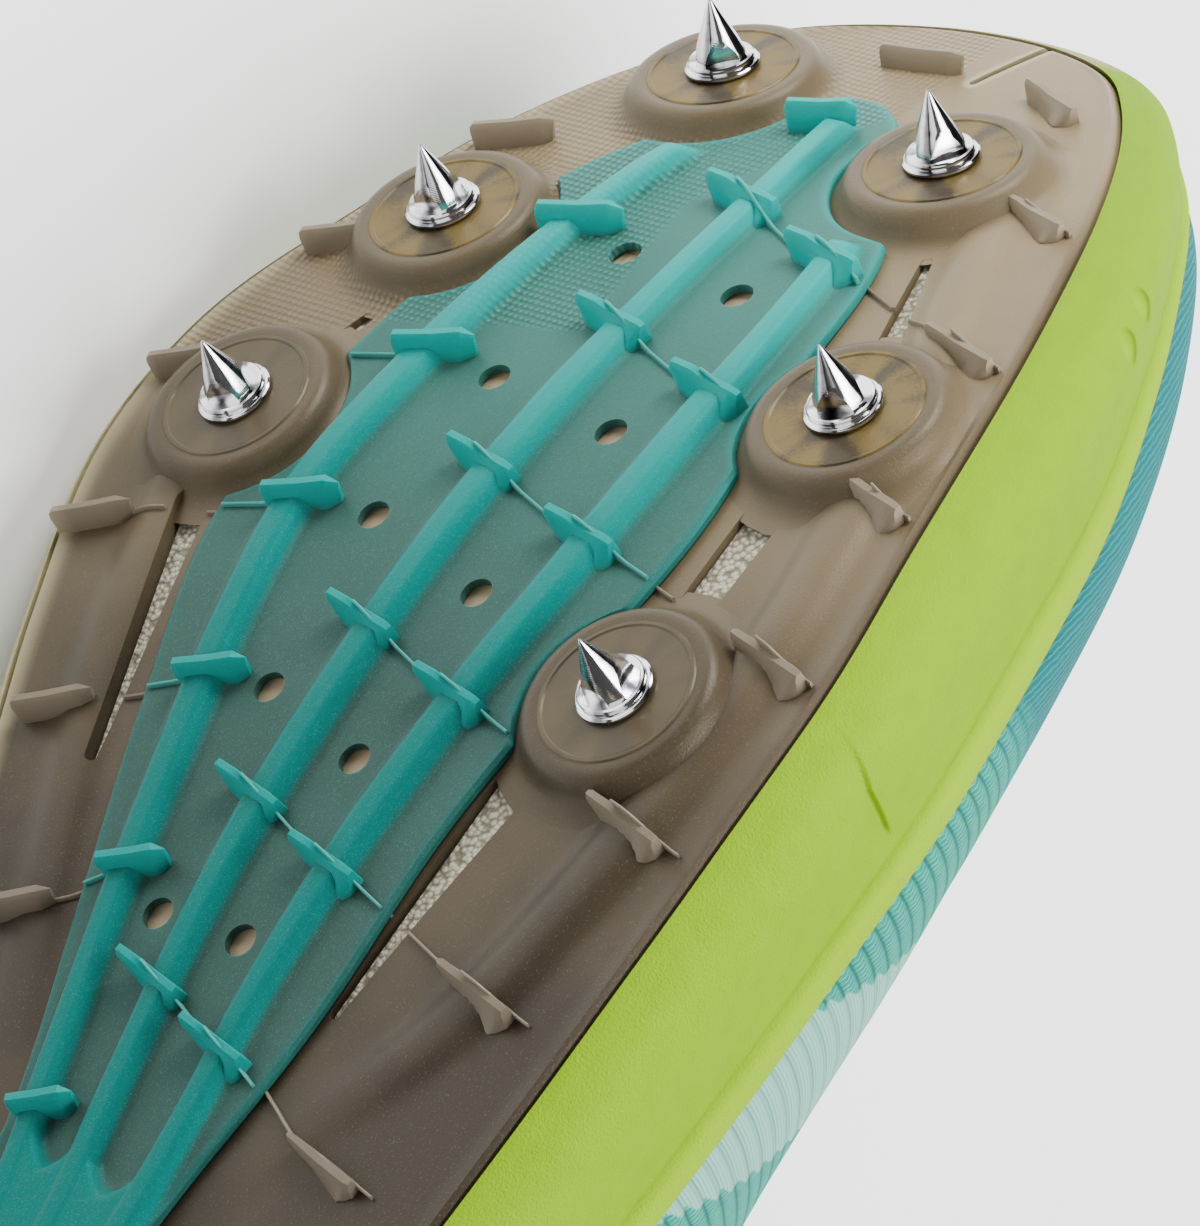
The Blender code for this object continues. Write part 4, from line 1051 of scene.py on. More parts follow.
def traction_rings():
    """Rings across the traction plate; its columns keep to the ribs, not to the scalloped edge."""
    back = TRACTION_RINGS // TRACTION_BACK_SHARE
    x = np.unique(np.concatenate([
        np.linspace(traction_outline.back, TRACTION_CLOSER, back, endpoint=False),
        np.linspace(TRACTION_CLOSER, traction_outline.front, TRACTION_RINGS - back),
        np.linspace(*TRACTION_FRONT_SPAN),
    ]))
    medial, lateral = traction_limits(x)
    ribs = [rib_line["medial"](x) - RIB_EDGE, rib_line["middle"](x), rib_line["lateral"](x) + RIB_EDGE]
    knots = [medial]
    for y in ribs + [lateral]:
        least = knots[-1] + COLUMN_LEAST
        knots.append(np.clip(y, least, np.maximum(lateral, least)))
    knots = np.array(knots)
    medial, lateral = knots[0], knots[-1]
    points = []
    for f in np.linspace(0.0, 1.0, TRACTION_COLUMNS):
        y = np.array([np.interp(f, COLUMN_SHARES, column) for column in knots.T])
        near = 1.0 - np.clip(np.minimum(y - medial, lateral - y) / SHEET_ROUND_REACH, 0.0, 1.0)
        drop = SHEET_ROUND * (1.0 - np.sqrt(np.clip(1.0 - near**2, 0.0, 1.0)))
        points.append(ground(x, y, TRACTION_TOP - drop + traction_height(x, y)))
    for f in SHEET_BACK_SHARES:
        points.append(ground(x, medial + (lateral - medial) * f, GAP))
    return np.stack(points, axis=1)


def hole_tool(number, x, y):
    angle = round_angles(HOLE_SIDES)
    x = x + HOLE_RADIUS * np.cos(angle)
    y = y + HOLE_RADIUS * np.sin(angle)
    return skin("hole_%d" % number, [ground(x, y, height) for height in HOLE_SPAN], wrap=True, cap=True)


# Upper shapes

def throat_gap(s):
    """Half width of the opening; nothing in front of the throat."""
    return np.where(plate_outline.station(s) >= THROAT_FRONT, 0.0, np.maximum(top_column["gap"](s), 0.0))


def wall_point(s, side, v):
    """Point on the outside of the upper: v runs from the sole edge (0) to ridge, throat or collar (1)."""
    s, side, v = np.broadcast_arrays(np.asarray(s, float), side, v)
    edge = plate_outline.point(s, side)
    out = plate_outline.normal(s, side)
    top = {name: read(s) for name, read in top_column.items()}
    swell = np.where(side > 0, top["swell"], 0.0)
    foot = edge + out * (UPPER_OUT * sole_flare(edge[..., 0]) + FOOT_SWELL * swell)[..., None]
    low = np.concatenate([foot, (sole_top(foot[..., 0]) + GAP)[..., None]], axis=-1)
    high = np.stack([top["top"], top["axis"] + side * throat_gap(s), top["height"]], axis=-1)
    rise = high[..., 2] - low[..., 2]
    reach = np.linalg.norm((low - high)[..., :2], axis=-1)
    lean = np.radians(top["lean"])
    level = unit((low - high)[..., :2] + TOP_OUTWARD * out) * np.cos(lean)[..., None]
    arm = ARM_REACH * reach * np.cos(lean) + ARM_RISE * rise * np.sin(lean)
    high_arm = high + arm[..., None] * np.concatenate([level, -np.sin(lean)[..., None]], axis=-1)
    bulge = out * (top["bulge"] + swell)[..., None]
    climb = rise * (top["rise"] + SWELL_RISE * swell)
    low_arm = low + np.concatenate([bulge, climb[..., None]], axis=-1)
    v = v[..., None]
    u = 1.0 - v
    return u**3 * low + 3 * u * u * v * low_arm + 3 * u * v * v * high_arm + v**3 * high


def wall_normal(s, side, v):
    """Direction out of the upper's wall."""
    ds, dv = 0.006, 0.01
    s = np.clip(s, ds, 1.0 - ds)
    v = np.clip(v, dv, 1.0 - dv)
    along = wall_point(s + ds, side, v) - wall_point(s - ds, side, v)
    up = wall_point(s, side, v + dv) - wall_point(s, side, v - dv)
    return unit(np.cross(up, along) * np.asarray(side)[..., None])


def down_from_edge(s, side, distance):
    """Value of v at a distance down the wall from its top edge."""
    levels = np.linspace(1.0, 0.0, WALL_STEPS)
    return float(np.interp(distance, travelled(wall_point(s, side, levels)), levels))


def eyelet_share(row):
    return float(plate_outline.share(EYELET_FRONT - EYELET_PITCH * row))


def eyelet(row, side):
    """Middle of an eyelet on the outside of the wall, and the direction out."""
    s = eyelet_share(row)
    v = down_from_edge(s, side, EYELET_IN)
    return wall_point(s, side, v), wall_normal(s, side, v)


def eyelet_tool(row, side):
    name = "eyelet_%s_%d" % ("lateral" if side > 0 else "medial", row)
    place, out = eyelet(row, side)
    across = unit(np.cross(out, np.array([1.0, 0.0, 0.0])))
    along = np.cross(across, out)
    angle = round_angles(EYELET_SIDES)
    loop = place + EYELET_RADIUS * (np.outer(np.cos(angle), along) + np.outer(np.sin(angle), across))
    return skin(name, [loop - out * EYELET_REACH, loop + out * EYELET_REACH], wrap=True, cap=True)


def strap_path(start, end, hump):
    """Middle line and outward direction of a lace between two eyelets, its ends drawn into the holes."""
    over = LACE_OVER + LACE_THICK / 2
    middle, outward = [], []
    for t in np.linspace(0.0, 1.0, LACE_PATH_STEPS):
        s = eyelet_share(start + (end - start) * t)
        near_end = min(t, 1.0 - t) / LACE_EDGE_SHARE
        if near_end <= 1.0:
            side = 1 if t < 0.5 else -1
            v = min(down_from_edge(s, side, EYELET_IN * (1.0 - near_end)), WALL_TOP)
            place, out = wall_point(s, side, v), wall_normal(s, side, v)
        else:
            share = (t - LACE_EDGE_SHARE) / (1.0 - 2.0 * LACE_EDGE_SHARE)
            lateral, medial = wall_point(s, 1, WALL_TOP), wall_point(s, -1, WALL_TOP)
            rise = 4.0 * share * (1.0 - share) * (LACE_RISE + hump)
            place = lateral + (medial - lateral) * share + np.array([0.0, 0.0, rise])
            out = unit(wall_normal(s, 1, WALL_TOP) * (1.0 - share) + wall_normal(s, -1, WALL_TOP) * share)
        middle.append(place + out * over)
        outward.append(out)
    for row, side in ((start, 1), (end, -1)):
        hole, out = eyelet(max(round(row), 0), side)
        drawn = [hole + out * height for height in (-LACE_TAIL, LACE_HOLE, over - LACE_DIP)]
        middle = (drawn + middle[2:])[::-1]
        outward = ([out] * 3 + outward[2:])[::-1]
    return np.array(middle), np.array(outward)


def lace_piece(name, start, end, hump):
    """Flat woven strap with rounded edges along its path."""
    middle, outward = strap_path(start, end, hump)
    steps = travelled(middle)
    at = np.linspace(0.0, steps[-1], LACE_RINGS)
    line, out = [np.stack([np.interp(at, steps, column) for column in points.T], axis=1)
                 for points in (middle, outward)]
    for _ in range(LACE_SMOOTHING):
        line[1:-1] = (line[:-2] + 2.0 * line[1:-1] + line[2:]) / 4.0
    across = unit(np.cross(out, line[-4] - line[3]))
    face = unit(np.cross(unit(np.gradient(line, axis=0)), across))
    number = np.arange(LACE_RINGS)
    narrow = np.clip(np.minimum(number, number[::-1]) / LACE_NARROW_STEPS, LACE_NARROW, 1.0)
    angle = round_angles(LACE_SIDES)
    circle = (np.cos(angle), np.sin(angle))
    wide, high = [np.sign(c) * np.abs(c)**power for c, power in zip(circle, LACE_SQUARE)]
    wide = np.outer(LACE_WIDTH / 2.0 * narrow, wide)[..., None]
    high = (LACE_THICK / 2.0 * high)[:, None]
    rings = line[:, None] + across[:, None] * wide + face[:, None] * high
    along = np.broadcast_to(at[:, None, None], wide.shape)
    woven = np.concatenate([along, wide, np.zeros_like(wide)], axis=-1)
    return skin(name, rings, wrap=True, cap=True, values={"weave": woven})


def insole_section(s, side):
    """Half section of the insole at each share, from the middle below round its edge to the middle above."""
    edge = plate_outline.point(s, side)
    out = plate_outline.normal(s, side)
    middle = plate_outline.middle(s)
    rims = [(edge - out * (INSOLE_IN + inset), GAP + lift) for inset, lift in INSOLE_EDGE]
    low, high = [[raised(rim + (middle - rim) * f, sole_top, lift) for f in INSOLE_SHARES]
                 for rim, lift in (rims[0], rims[-1])]
    return low + [raised(rim, sole_top, lift) for rim, lift in rims] + high[::-1]


# Materials

def maths(operation, swapped=False):
    """Method that sends a wire, and a second value where there is one, through a maths node."""
    def send(wire, *others):
        terms = (*others, wire) if swapped else (wire, *others)
        return wire.recipe.node("ShaderNodeMath", {"operation": operation}, dict(enumerate(terms)))
    return send


class Wire:
    """Output of a shader node that takes part in sums."""

    def __init__(self, recipe, socket):
        self.recipe = recipe
        self.socket = socket

    __add__ = maths("ADD")
    __radd__ = maths("ADD", swapped=True)
    __sub__ = maths("SUBTRACT")
    __rsub__ = maths("SUBTRACT", swapped=True)
    __mul__ = maths("MULTIPLY")
    __rmul__ = maths("MULTIPLY", swapped=True)
    __truediv__ = maths("DIVIDE")
    __rtruediv__ = maths("DIVIDE", swapped=True)
    __pow__ = maths("POWER")
    __rpow__ = maths("POWER", swapped=True)
    sine = maths("SINE")
    size = maths("ABSOLUTE")
    part = maths("FRACT")
    most = maths("MAXIMUM")
    least = maths("MINIMUM")

    def ease(self, low, high):
        """Soft step from 0 at low to 1 at high."""
        return self.recipe.node("ShaderNodeMapRange", {"interpolation_type": "SMOOTHSTEP", "clamp": True},
                                {0: self, 1: low, 2: high, 3: 0.0, 4: 1.0})

    def held(self):
        """Kept between 0 and 1."""
        return self.least(1.0).most(0.0)


class Recipe:
    """Material under construction: one Principled shader and the nodes that feed it."""

    def __init__(self, name):
        self.material = bpy.data.materials.new(name)
        self.material.use_nodes = True
        self.tree = self.material.node_tree
        self.shader = self.tree.nodes["Principled BSDF"]

    def node(self, kind, settings=None, inputs=None, output=0):
        made = self.tree.nodes.new(kind)
        for key, value in (settings or {}).items():
            setattr(made, key, value)
        for key, value in (inputs or {}).items():
            self.plug(made.inputs[key], value)
        return Wire(self, made.outputs[output])

    def plug(self, socket, value):
        if isinstance(value, Wire):
            self.tree.links.new(value.socket, socket)
        elif socket.type == "RGBA":
            socket.default_value = (*value, 1.0)
        else:
            socket.default_value = value

    def values(self, *names):
        """Numbers kept with the piece's points."""
        return [self.node("ShaderNodeAttribute", {"attribute_name": name}, output=2) for name in names]

    def vector(self, name):
        return self.node("ShaderNodeAttribute", {"attribute_name": name}, output=1)

    def axes(self, vector):
        split = self.node("ShaderNodeSeparateXYZ", inputs={0: vector})
        return [Wire(self, socket) for socket in split.socket.node.outputs]

    def noise(self, vector, scale, detail=2.0, rough=0.5):
        inputs = {"Vector": vector, "Scale": scale, "Detail": detail, "Roughness": rough}
        return self.node("ShaderNodeTexNoise", inputs=inputs)

    def cells(self, vector, scale):
        return self.node("ShaderNodeTexVoronoi", inputs={"Vector": vector, "Scale": scale})

    def stretch(self, vector, scale):
        return self.node("ShaderNodeMapping", inputs={"Vector": vector, "Scale": scale})

    def direction(self, vector):
        return self.node("ShaderNodeVectorMath", {"operation": "NORMALIZE"}, {0: vector})

    def blend(self, colour, *coats):
        """Colour with others laid over it in turn, each by its share."""
        for second, share in coats:
            inputs = {0: share, 6: colour, 7: second}
            colour = self.node("ShaderNodeMix", {"data_type": "RGBA"}, inputs, output=2)
        return colour

    def bump(self, height, depth, strength=1.0, under=None):
        inputs = {"Height": height, "Distance": depth * MM, "Strength": strength}
        if under:
            inputs["Normal"] = under
        return self.node("ShaderNodeBump", inputs=inputs)

    def finish(self, **inputs):
        for key, value in inputs.items():
            self.plug(self.shader.inputs[key.replace("_", " ")], value)
        return self.material


def foam_material(props):
    recipe = Recipe("lime_foam_grain")
    place = recipe.vector("place")
    share, station, lateral, hem, bed = recipe.values("share", "station", "lateral", "hem", "bed")
    mottle = recipe.noise(place, 0.35, 3.0)
    grain = recipe.noise(place, 4.0, 3.0, 0.6)
    lime = recipe.blend(props.foam, (props.foam_deep, mottle.ease(0.35, 0.75) * 0.5),
                        (props.foam_lip, share.ease(0.79, 0.86) * 0.8))
    # Painted shade: a dark line along the crease, laid into the colour
    lean = (CREASE_SHARE - share).most(0.0) * CREASE_LEAN
    painted_foam_shade = (station - CREASE_STATION - lean + 0.15).size().ease(0.3, 0.0) * 0.55
    painted_foam_shade = painted_foam_shade * share.ease(0.0, 0.35) * share.ease(0.69, 0.62)
    for row in DIMPLES:
        across = (station - row.station) / row.half_length
        along = (share - row.share) / row.half_share
        away = (across * across + along * along)**0.5
        # Painted light: the inside of each lateral dimple is lightened towards the lip colour
        lime = recipe.blend(lime, (props.foam_lip, away.ease(1.0, 0.5) * lateral * 0.6))
        # Painted shade: a dark arc on one side of each dimple's edge
        edge = (away - 0.95).size().ease(0.28, 0.0) * (across * 0.8 + along * 0.5).ease(-0.2, 0.7)
        painted_foam_shade = painted_foam_shade.most(edge * 0.75)
    bead = recipe.cells(place, 1.7)
    board = recipe.blend(props.board, (props.board_shade, bead.ease(0.25, 0.75) * 0.8))
    # Over the lime: painted shade on the lateral side, the painted glow on the medial side, and the board in
    # the slots
    colour = recipe.blend(lime, (props.foam_painted_shade, painted_foam_shade * lateral), (props.foam_painted_glow, hem), (board, bed))
    normal = recipe.bump(grain + (0.6 - bead) * bed * 2.0, 0.2, 0.8)
    return recipe.finish(Base_Color=colour, Roughness=0.62 + grain * 0.16 - bed * 0.3, Normal=normal,
                         Specular_IOR_Level=0.2, Specular_Tint=(0.8, 1.0, 0.1))


def checkered(x, y, pitch):
    """Diagonal field of small squares, from -1 to 1."""
    turn = math.pi / pitch
    return ((x + y) * turn).sine() * ((x - y) * turn).sine()


def plate_material(props):
    recipe = Recipe("grey_plate_satin")
    place = recipe.vector("place")
    x, y, _ = recipe.axes(place)
    rim, fin, field, painted_plate_shade, hole = recipe.values("rim", "fin", "dimpled", "boss", "hole")
    mottle = recipe.noise(place, 0.06, 3.0)
    grain = recipe.noise(place, 5.0, 2.0)
    checks = checkered(x, y, props.grid_pitch)
    colour = recipe.blend(
        props.plate,
        # painted light: the plate grows lighter towards the toe, as light that falls off towards the midfoot
        (props.plate_lit_toe, (x.ease(150.0, 288.0) + (mottle - 0.5) * 0.4).held()),
        # painted shade round the bosses and along the lateral edge
        (props.plate_painted_shade, painted_plate_shade * 0.6),
        # painted glow on the medial rim, pale round the toe slit
        (props.plate_pale_and_glow, rim * 0.75),
        # pale plate in the holes, partly painted light
        (props.plate_hole_pale_and_lit, hole),
        (props.plate_thin, fin.least(1.0) * 0.6 + fin.ease(1.2, 1.8) * 0.2),
        (props.plate_pale_and_glow, grain.ease(0.58, 0.75) * 0.10),
        (props.plate_grid, field * checks.ease(0.1, 0.9) * 0.3),
    )
    normal = recipe.bump(grain, 0.05, 0.6, recipe.bump(checks * field, 0.09))
    return recipe.finish(Base_Color=colour, Roughness=0.30 + grain * 0.16, Normal=normal,
                         Specular_IOR_Level=0.24, Specular_Tint=(1.0, 0.9, 0.74))


def traction_material(props):
    recipe = Recipe("teal_traction")
    place = recipe.vector("place")
    x, y, _ = recipe.axes(place)
    lift, rim, fin, field = recipe.values("lift", "rim", "fin", "dimpled")
    haze = recipe.noise(place, 2.2, 4.0, 0.7)
    cloud = recipe.noise(place, 0.07, 2.0)
    frost = recipe.noise(place, 9.0, 2.0)
    checks = checkered(x, y, props.grid_pitch)
    thick = lift.ease(1.25, 2.1)
    field = field * (1.0 - thick * 0.6)
    # Painted light: sheet and ribs grow lighter towards the toe, as light that falls off towards the midfoot
    sheet = recipe.blend(props.teal_thin,
                         (props.teal_thin_lit_toe, (x.ease(175.0, 268.0) + (cloud - 0.5) * 0.5).held()))
    solid = recipe.blend(props.teal, (props.teal_lit_toe, x.ease(180.0, 268.0)))
    colour = recipe.blend(
        sheet,
        (solid, (thick + rim * 0.45).least(1.0)),
        (props.teal_lit_toe, fin.least(1.0) * 0.45),
        (props.teal_frost, haze.ease(0.54, 0.8) * 0.15 + frost.ease(0.56, 0.74) * 0.3),
        (props.teal_frost, fin.ease(1.2, 1.8) * 0.4),
        (props.teal_frost, field * checks.ease(0.1, 0.9) * 0.45),
    )
    normal = recipe.bump(checks * field * (1.0 - thick * 0.7), 0.09)
    normal = recipe.bump(haze, 0.05, 0.7, normal)
    return recipe.finish(Base_Color=colour, Roughness=0.30 + haze * 0.22, Normal=normal,
                         Specular_IOR_Level=0.16, Specular_Tint=(0.05, 1.0, 0.92), Subsurface_Weight=0.15,
                         Subsurface_Radius=(0.4, 1.0, 0.95), Subsurface_Scale=0.0015)


def seat_material(props):
    recipe = Recipe("brass_under_glaze")
    turning = recipe.vector("turning")
    dull = recipe.values("dull")[0]
    # Painted reflection: glints in streaks round the seat's axis, with more metal where they fall
    streaks = recipe.noise(recipe.direction(turning), 2.0, 1.5)
    speckle = recipe.noise(turning, 3.0, 3.0)
    shine = (streaks + (speckle - 0.5) * 0.25).ease(0.40, 0.62)
    gold = recipe.blend(props.seat_dark, (props.seat, shine), (props.seat_dull, dull * 0.8))
    return recipe.finish(Base_Color=gold, Metallic=(0.1 + shine * 0.25) * (1.0 - dull * 0.7),
                         Roughness=0.34 + speckle * 0.2, Normal=recipe.bump(speckle, 0.04, 0.5),
                         Specular_IOR_Level=0.3, Specular_Tint=(1.0, 0.85, 0.55), Coat_Weight=0.12,
                         Coat_Roughness=0.08)


def chrome_material(props):
    recipe = Recipe("polished_chrome")
    turning = recipe.vector("turning")
    height = recipe.axes(turning)[2]
    rings = (height * (FULL_TURN / 0.16)).sine()
    smear = recipe.noise(turning, 1.2, 2.0)
    # Painted reflection: dark and bright streaks round the spike's axis
    way = recipe.direction(recipe.stretch(turning, (1.0, 1.0, 0.0)))
    painted_reflection = recipe.noise(way, 1.1, 1.0) + (smear - 0.5) * 0.1
    colour = recipe.blend(props.chrome_reflected_dark, (props.chrome, painted_reflection.ease(0.42, 0.56)))
    return recipe.finish(Base_Color=colour, Metallic=1.0, Roughness=0.06 + smear * 0.08,
                         Normal=recipe.bump(rings, 0.003, 0.5))


def knit_material(props):
    """Ribbed knit: fine waves at the toe, stitched ribs behind, and a pale band that runs up and forward."""
    recipe = Recipe("teal_rib_knit")
    x, _, z = recipe.axes(recipe.vector("place"))
    weave = recipe.vector("weave")
    along, up, level = recipe.axes(weave)
    rib = along / props.rib_pitch
    sway = recipe.noise(recipe.stretch(weave, (0.9, 0.45, 1.0)), 1.0, 2.0)
    ribs = (rib * math.pi).sine().size()
    vee = (rib.part() - 0.5).size() * 1.3
    stitch = ((up / props.stitch_pitch + vee) * FULL_TURN).sine()
    fine = ((along * 0.35 + up + (sway - 0.5) * 0.6) * (FULL_TURN / props.toe_pitch)).sine()
    thread = ((along / 0.42 + sway * 0.3) * FULL_TURN).sine()
    toe = x.ease(214.0, 224.0)
    edge = ((rib * FULL_TURN).sine() + (sway - 0.5) * 2.0) * 0.7
    front = (x - z * 1.25 + edge - props.band_front).ease(0.4, -0.4)
    back = (x - z * 1.15 + edge - props.band_back).ease(-0.4, 0.4)
    band = front * back
    fleck = recipe.noise(recipe.stretch(weave, (0.9, 1.9, 1.0)), 1.0, 1.0)
    # Painted highlight on the stitches of the rib tops, and painted shade between the ribs
    body = recipe.blend(props.knit, (props.knit_green, fleck.ease(0.42, 0.6)),
                        (props.knit_highlight, stitch.ease(0.45, 1.0) * ribs * 0.5),
                        (props.knit_shade, ribs.ease(0.5, 0.05) * 0.7))
    # Painted shade in the troughs of the toe's waves, and painted highlight on their crests
    nose = recipe.blend(props.knit_toe, (props.knit_shade, fine.ease(0.2, -0.9) * 0.45),
                        (props.knit_highlight, fine.ease(0.6, 1.0) * 0.08))
    # Painted shade between the ribs and threads of the pale band
    shade = ribs.ease(0.75, 0.1) * 0.5 + thread.ease(0.0, -1.0) * 0.25
    pale = recipe.blend(props.band, (props.band_shade, shade))
    colour = recipe.blend(body, (nose, toe), (pale, band))
    height = (ribs * 0.7 + stitch * 0.35) * (1.0 - toe) * (1.0 - band) + fine * 0.5 * toe * (1.0 - band)
    height = (height + (ribs * 0.6 + thread * 0.16) * band) * level.ease(0.985, 0.93)
    return recipe.finish(Base_Color=colour, Roughness=0.72 + stitch * 0.08, Specular_IOR_Level=0.25,
                         Normal=recipe.bump(height, 0.32, 0.9))


def cloth_material(name, main, shade, pitch, rough, attribute="place"):
    """Plain fine weave for linings, tongue, insole and lace."""
    recipe = Recipe(name)
    vector = recipe.vector(attribute)
    a, b, c = recipe.axes(vector)
    turn = FULL_TURN / pitch
    weave = ((a + c) * turn).sine() * ((b + c) * turn).sine()
    wool = recipe.noise(vector, 1.2, 3.0)
    # Painted shade in the troughs of the weave, with random darker mottle of the wool
    colour = recipe.blend(main, (shade, (weave.ease(0.3, -0.8) * 0.6 + wool.ease(0.4, 0.8) * 0.3).least(1.0)))
    return recipe.finish(Base_Color=colour, Roughness=rough + wool * 0.08, Sheen_Weight=0.2,
                         Sheen_Roughness=0.5, Normal=recipe.bump(weave + wool * 0.5, 0.12, 0.8))


def floor_material(props):
    recipe = Recipe("pale_floor")
    cloud = recipe.noise(recipe.node("ShaderNodeTexCoord", output=3), 1.5, 2.0)
    colour = recipe.blend(props.floor, ([shade * 0.985 for shade in props.floor], cloud))
    return recipe.finish(Base_Color=colour, Roughness=0.8 + cloud * 0.05)


# Settings

def colour_setting(name, description, default):
    return bpy.props.FloatVectorProperty(name=name, description=description, default=default, size=3,
                                         min=0.0, max=1.0, subtype="COLOR")


def number_setting(name, description, default, **more):
    return bpy.props.FloatProperty(name=name, description=description, default=default, **more)


class SoleSettings(bpy.types.PropertyGroup):
    foam: colour_setting("Foam", "Main colour of the midsole foam", (0.165, 0.305, 0.0))
    foam_deep: colour_setting("Foam, deep", "Darker mottle of the foam", (0.14, 0.27, 0.0))
    foam_lip: colour_setting("Foam lip", "Lighter band along the top of the sidewall; also painted light inside the dimples", (0.215, 0.37, 0.002))
    foam_painted_shade: colour_setting("Foam painted shade", "Painted shade on the edges of dimples and along the crease", (0.07, 0.14, 0.0))
    foam_painted_glow: colour_setting("Foam painted glow", "Painted pale glow on the lower medial sidewall under the plate's edge", (0.34, 0.31, 0.17))
    board: colour_setting("Board", "Coarse board seen through the slots", (0.50, 0.47, 0.37))
    board_shade: colour_setting("Board, shade", "Shade between the beads of the board", (0.09, 0.08, 0.055))
    plate: colour_setting("Plate", "Plate at the middle of the foot", (0.0240, 0.0180, 0.0124))
    plate_lit_toe: colour_setting("Plate at the toe", "Painted light on the plate, growing towards the toe", (0.215, 0.165, 0.09))
    plate_painted_shade: colour_setting("Bosses", "Painted shade on the plate round the spikes and along its lateral edge", (0.030, 0.022, 0.014))
    plate_hole_pale_and_lit: colour_setting("Plate in holes", "Pale plate seen through the holes, with painted light that lifts their shade", (0.30, 0.245, 0.155))
    plate_pale_and_glow: colour_setting("Plate pale and glow", "Painted glow on the plate's thin medial rim, pale round the toe slit, and pale flecks", (0.38, 0.33, 0.20))
    plate_thin: colour_setting("Plate fins", "Thin fins of the plate", (0.20, 0.165, 0.122))
    plate_grid: colour_setting("Plate grid", "Light squares of the dimpled field", (0.30, 0.25, 0.17))
    teal: colour_setting("Teal", "Thick ribs and fins of the traction plate", (0.0, 0.105, 0.092))
    teal_lit_toe: colour_setting("Teal at the toe", "Painted light on ribs and fins, growing towards the toe", (0.0, 0.30, 0.27))
    teal_thin: colour_setting("Thin teal", "Sheet of the traction plate over the grey", (0.030, 0.054, 0.044))
    teal_thin_lit_toe: colour_setting("Thin teal at the toe", "Painted light on the sheet, growing towards the toe", (0.034, 0.140, 0.113))
    teal_frost: colour_setting("Teal frost", "Haze on the traction plate", (0.11, 0.32, 0.28))
    grid_pitch: number_setting("Grid pitch", "Pitch of the dimpled field, in millimetres", 0.75,
                               min=0.3, max=4.0)


class SpikeSettings(bpy.types.PropertyGroup):
    sides: bpy.props.IntProperty(name="Sides", description="Sides of a turned spike", default=64,
                                 min=12, max=128)
    flat_depth: number_setting("Flat distance", "Distance of the wrench flats from the axis", 0.00185,
                               min=0.0005, max=0.003, unit="LENGTH")
    chrome: colour_setting("Chrome", "Colour of the spikes, and the bright streaks of the painted reflection", (0.80, 0.80, 0.82))
    chrome_reflected_dark: colour_setting("Chrome, dark", "Painted dark reflections in streaks round the spikes", (0.12, 0.12, 0.13))
    seat: colour_setting("Seat", "Painted glints on the brass of the seats", (0.12, 0.084, 0.026))
    seat_dark: colour_setting("Seat, dark", "Brass of the seats between the painted glints", (0.028, 0.020, 0.010))
    seat_dull: colour_setting("Seat, dull", "Seats that show grey through the plate", (0.042, 0.034, 0.024))


class UpperSettings(bpy.types.PropertyGroup):
    knit: colour_setting("Knit", "Blue teal yarn", (0.0, 0.19, 0.175))
    knit_green: colour_setting("Green yarn", "Green teal yarn", (0.0, 0.27, 0.15))
    knit_highlight: colour_setting("Knit highlight", "Highlights of the stitches", (0.13, 0.60, 0.52))
    knit_shade: colour_setting("Knit shade", "Shade between the ribs", (0.0, 0.055, 0.055))
    knit_toe: colour_setting("Toe yarn", "Yarn of the toe", (0.0, 0.155, 0.165))
    band: colour_setting("Band", "Pale band", (0.20, 0.43, 0.35))
    band_shade: colour_setting("Band, shade", "Shade between the ribs of the pale band", (0.09, 0.235, 0.195))
    lining: colour_setting("Lining", "Inside of the upper", (0.22, 0.42, 0.38))
    lace: colour_setting("Lace", "Lace", (0.44, 0.74, 0.66))
    insole: colour_setting("Insole", "Sock liner", (0.62, 0.70, 0.66))
    insole_shade: colour_setting("Insole, shade", "Shade in the weave of the sock liner", (0.40, 0.48, 0.45))
    rib_pitch: number_setting("Rib pitch", "Pitch of the ribs, in millimetres", 2.0)
    stitch_pitch: number_setting("Stitch pitch", "Pitch of the stitches, in millimetres", 0.62)
    toe_pitch: number_setting("Toe pitch", "Pitch of the toe's waves, in millimetres", 0.75)
    band_front: number_setting("Band front", "Front edge of the pale band, in millimetres", 157.0)
    band_back: number_setting("Band back", "Back edge of the pale band, in millimetres", 135.0)


class StageSettings(bpy.types.PropertyGroup):
    floor: colour_setting("Floor", "Colour of the floor", (0.93, 0.93, 0.93))
    floor_size: number_setting("Floor size", "Edge length of the floor", 40.0, unit="LENGTH")
    lens: number_setting("Lens", "Focal length over a 36 mm high picture", 176.43)
    key_power: number_setting("Key light", "Light from the toe side", 8.5, unit="POWER")
    top_power: number_setting("Top light", "Light from above", 38.0, unit="POWER")
    fill_power: number_setting("Fill light", "Light from the camera's side", 4.0, unit="POWER")
    sky: number_setting("Surround", "Strength of the even surrounding light", 0.08)


# Operators

class ShoeOperator:
    bl_options = {"REGISTER", "UNDO"}


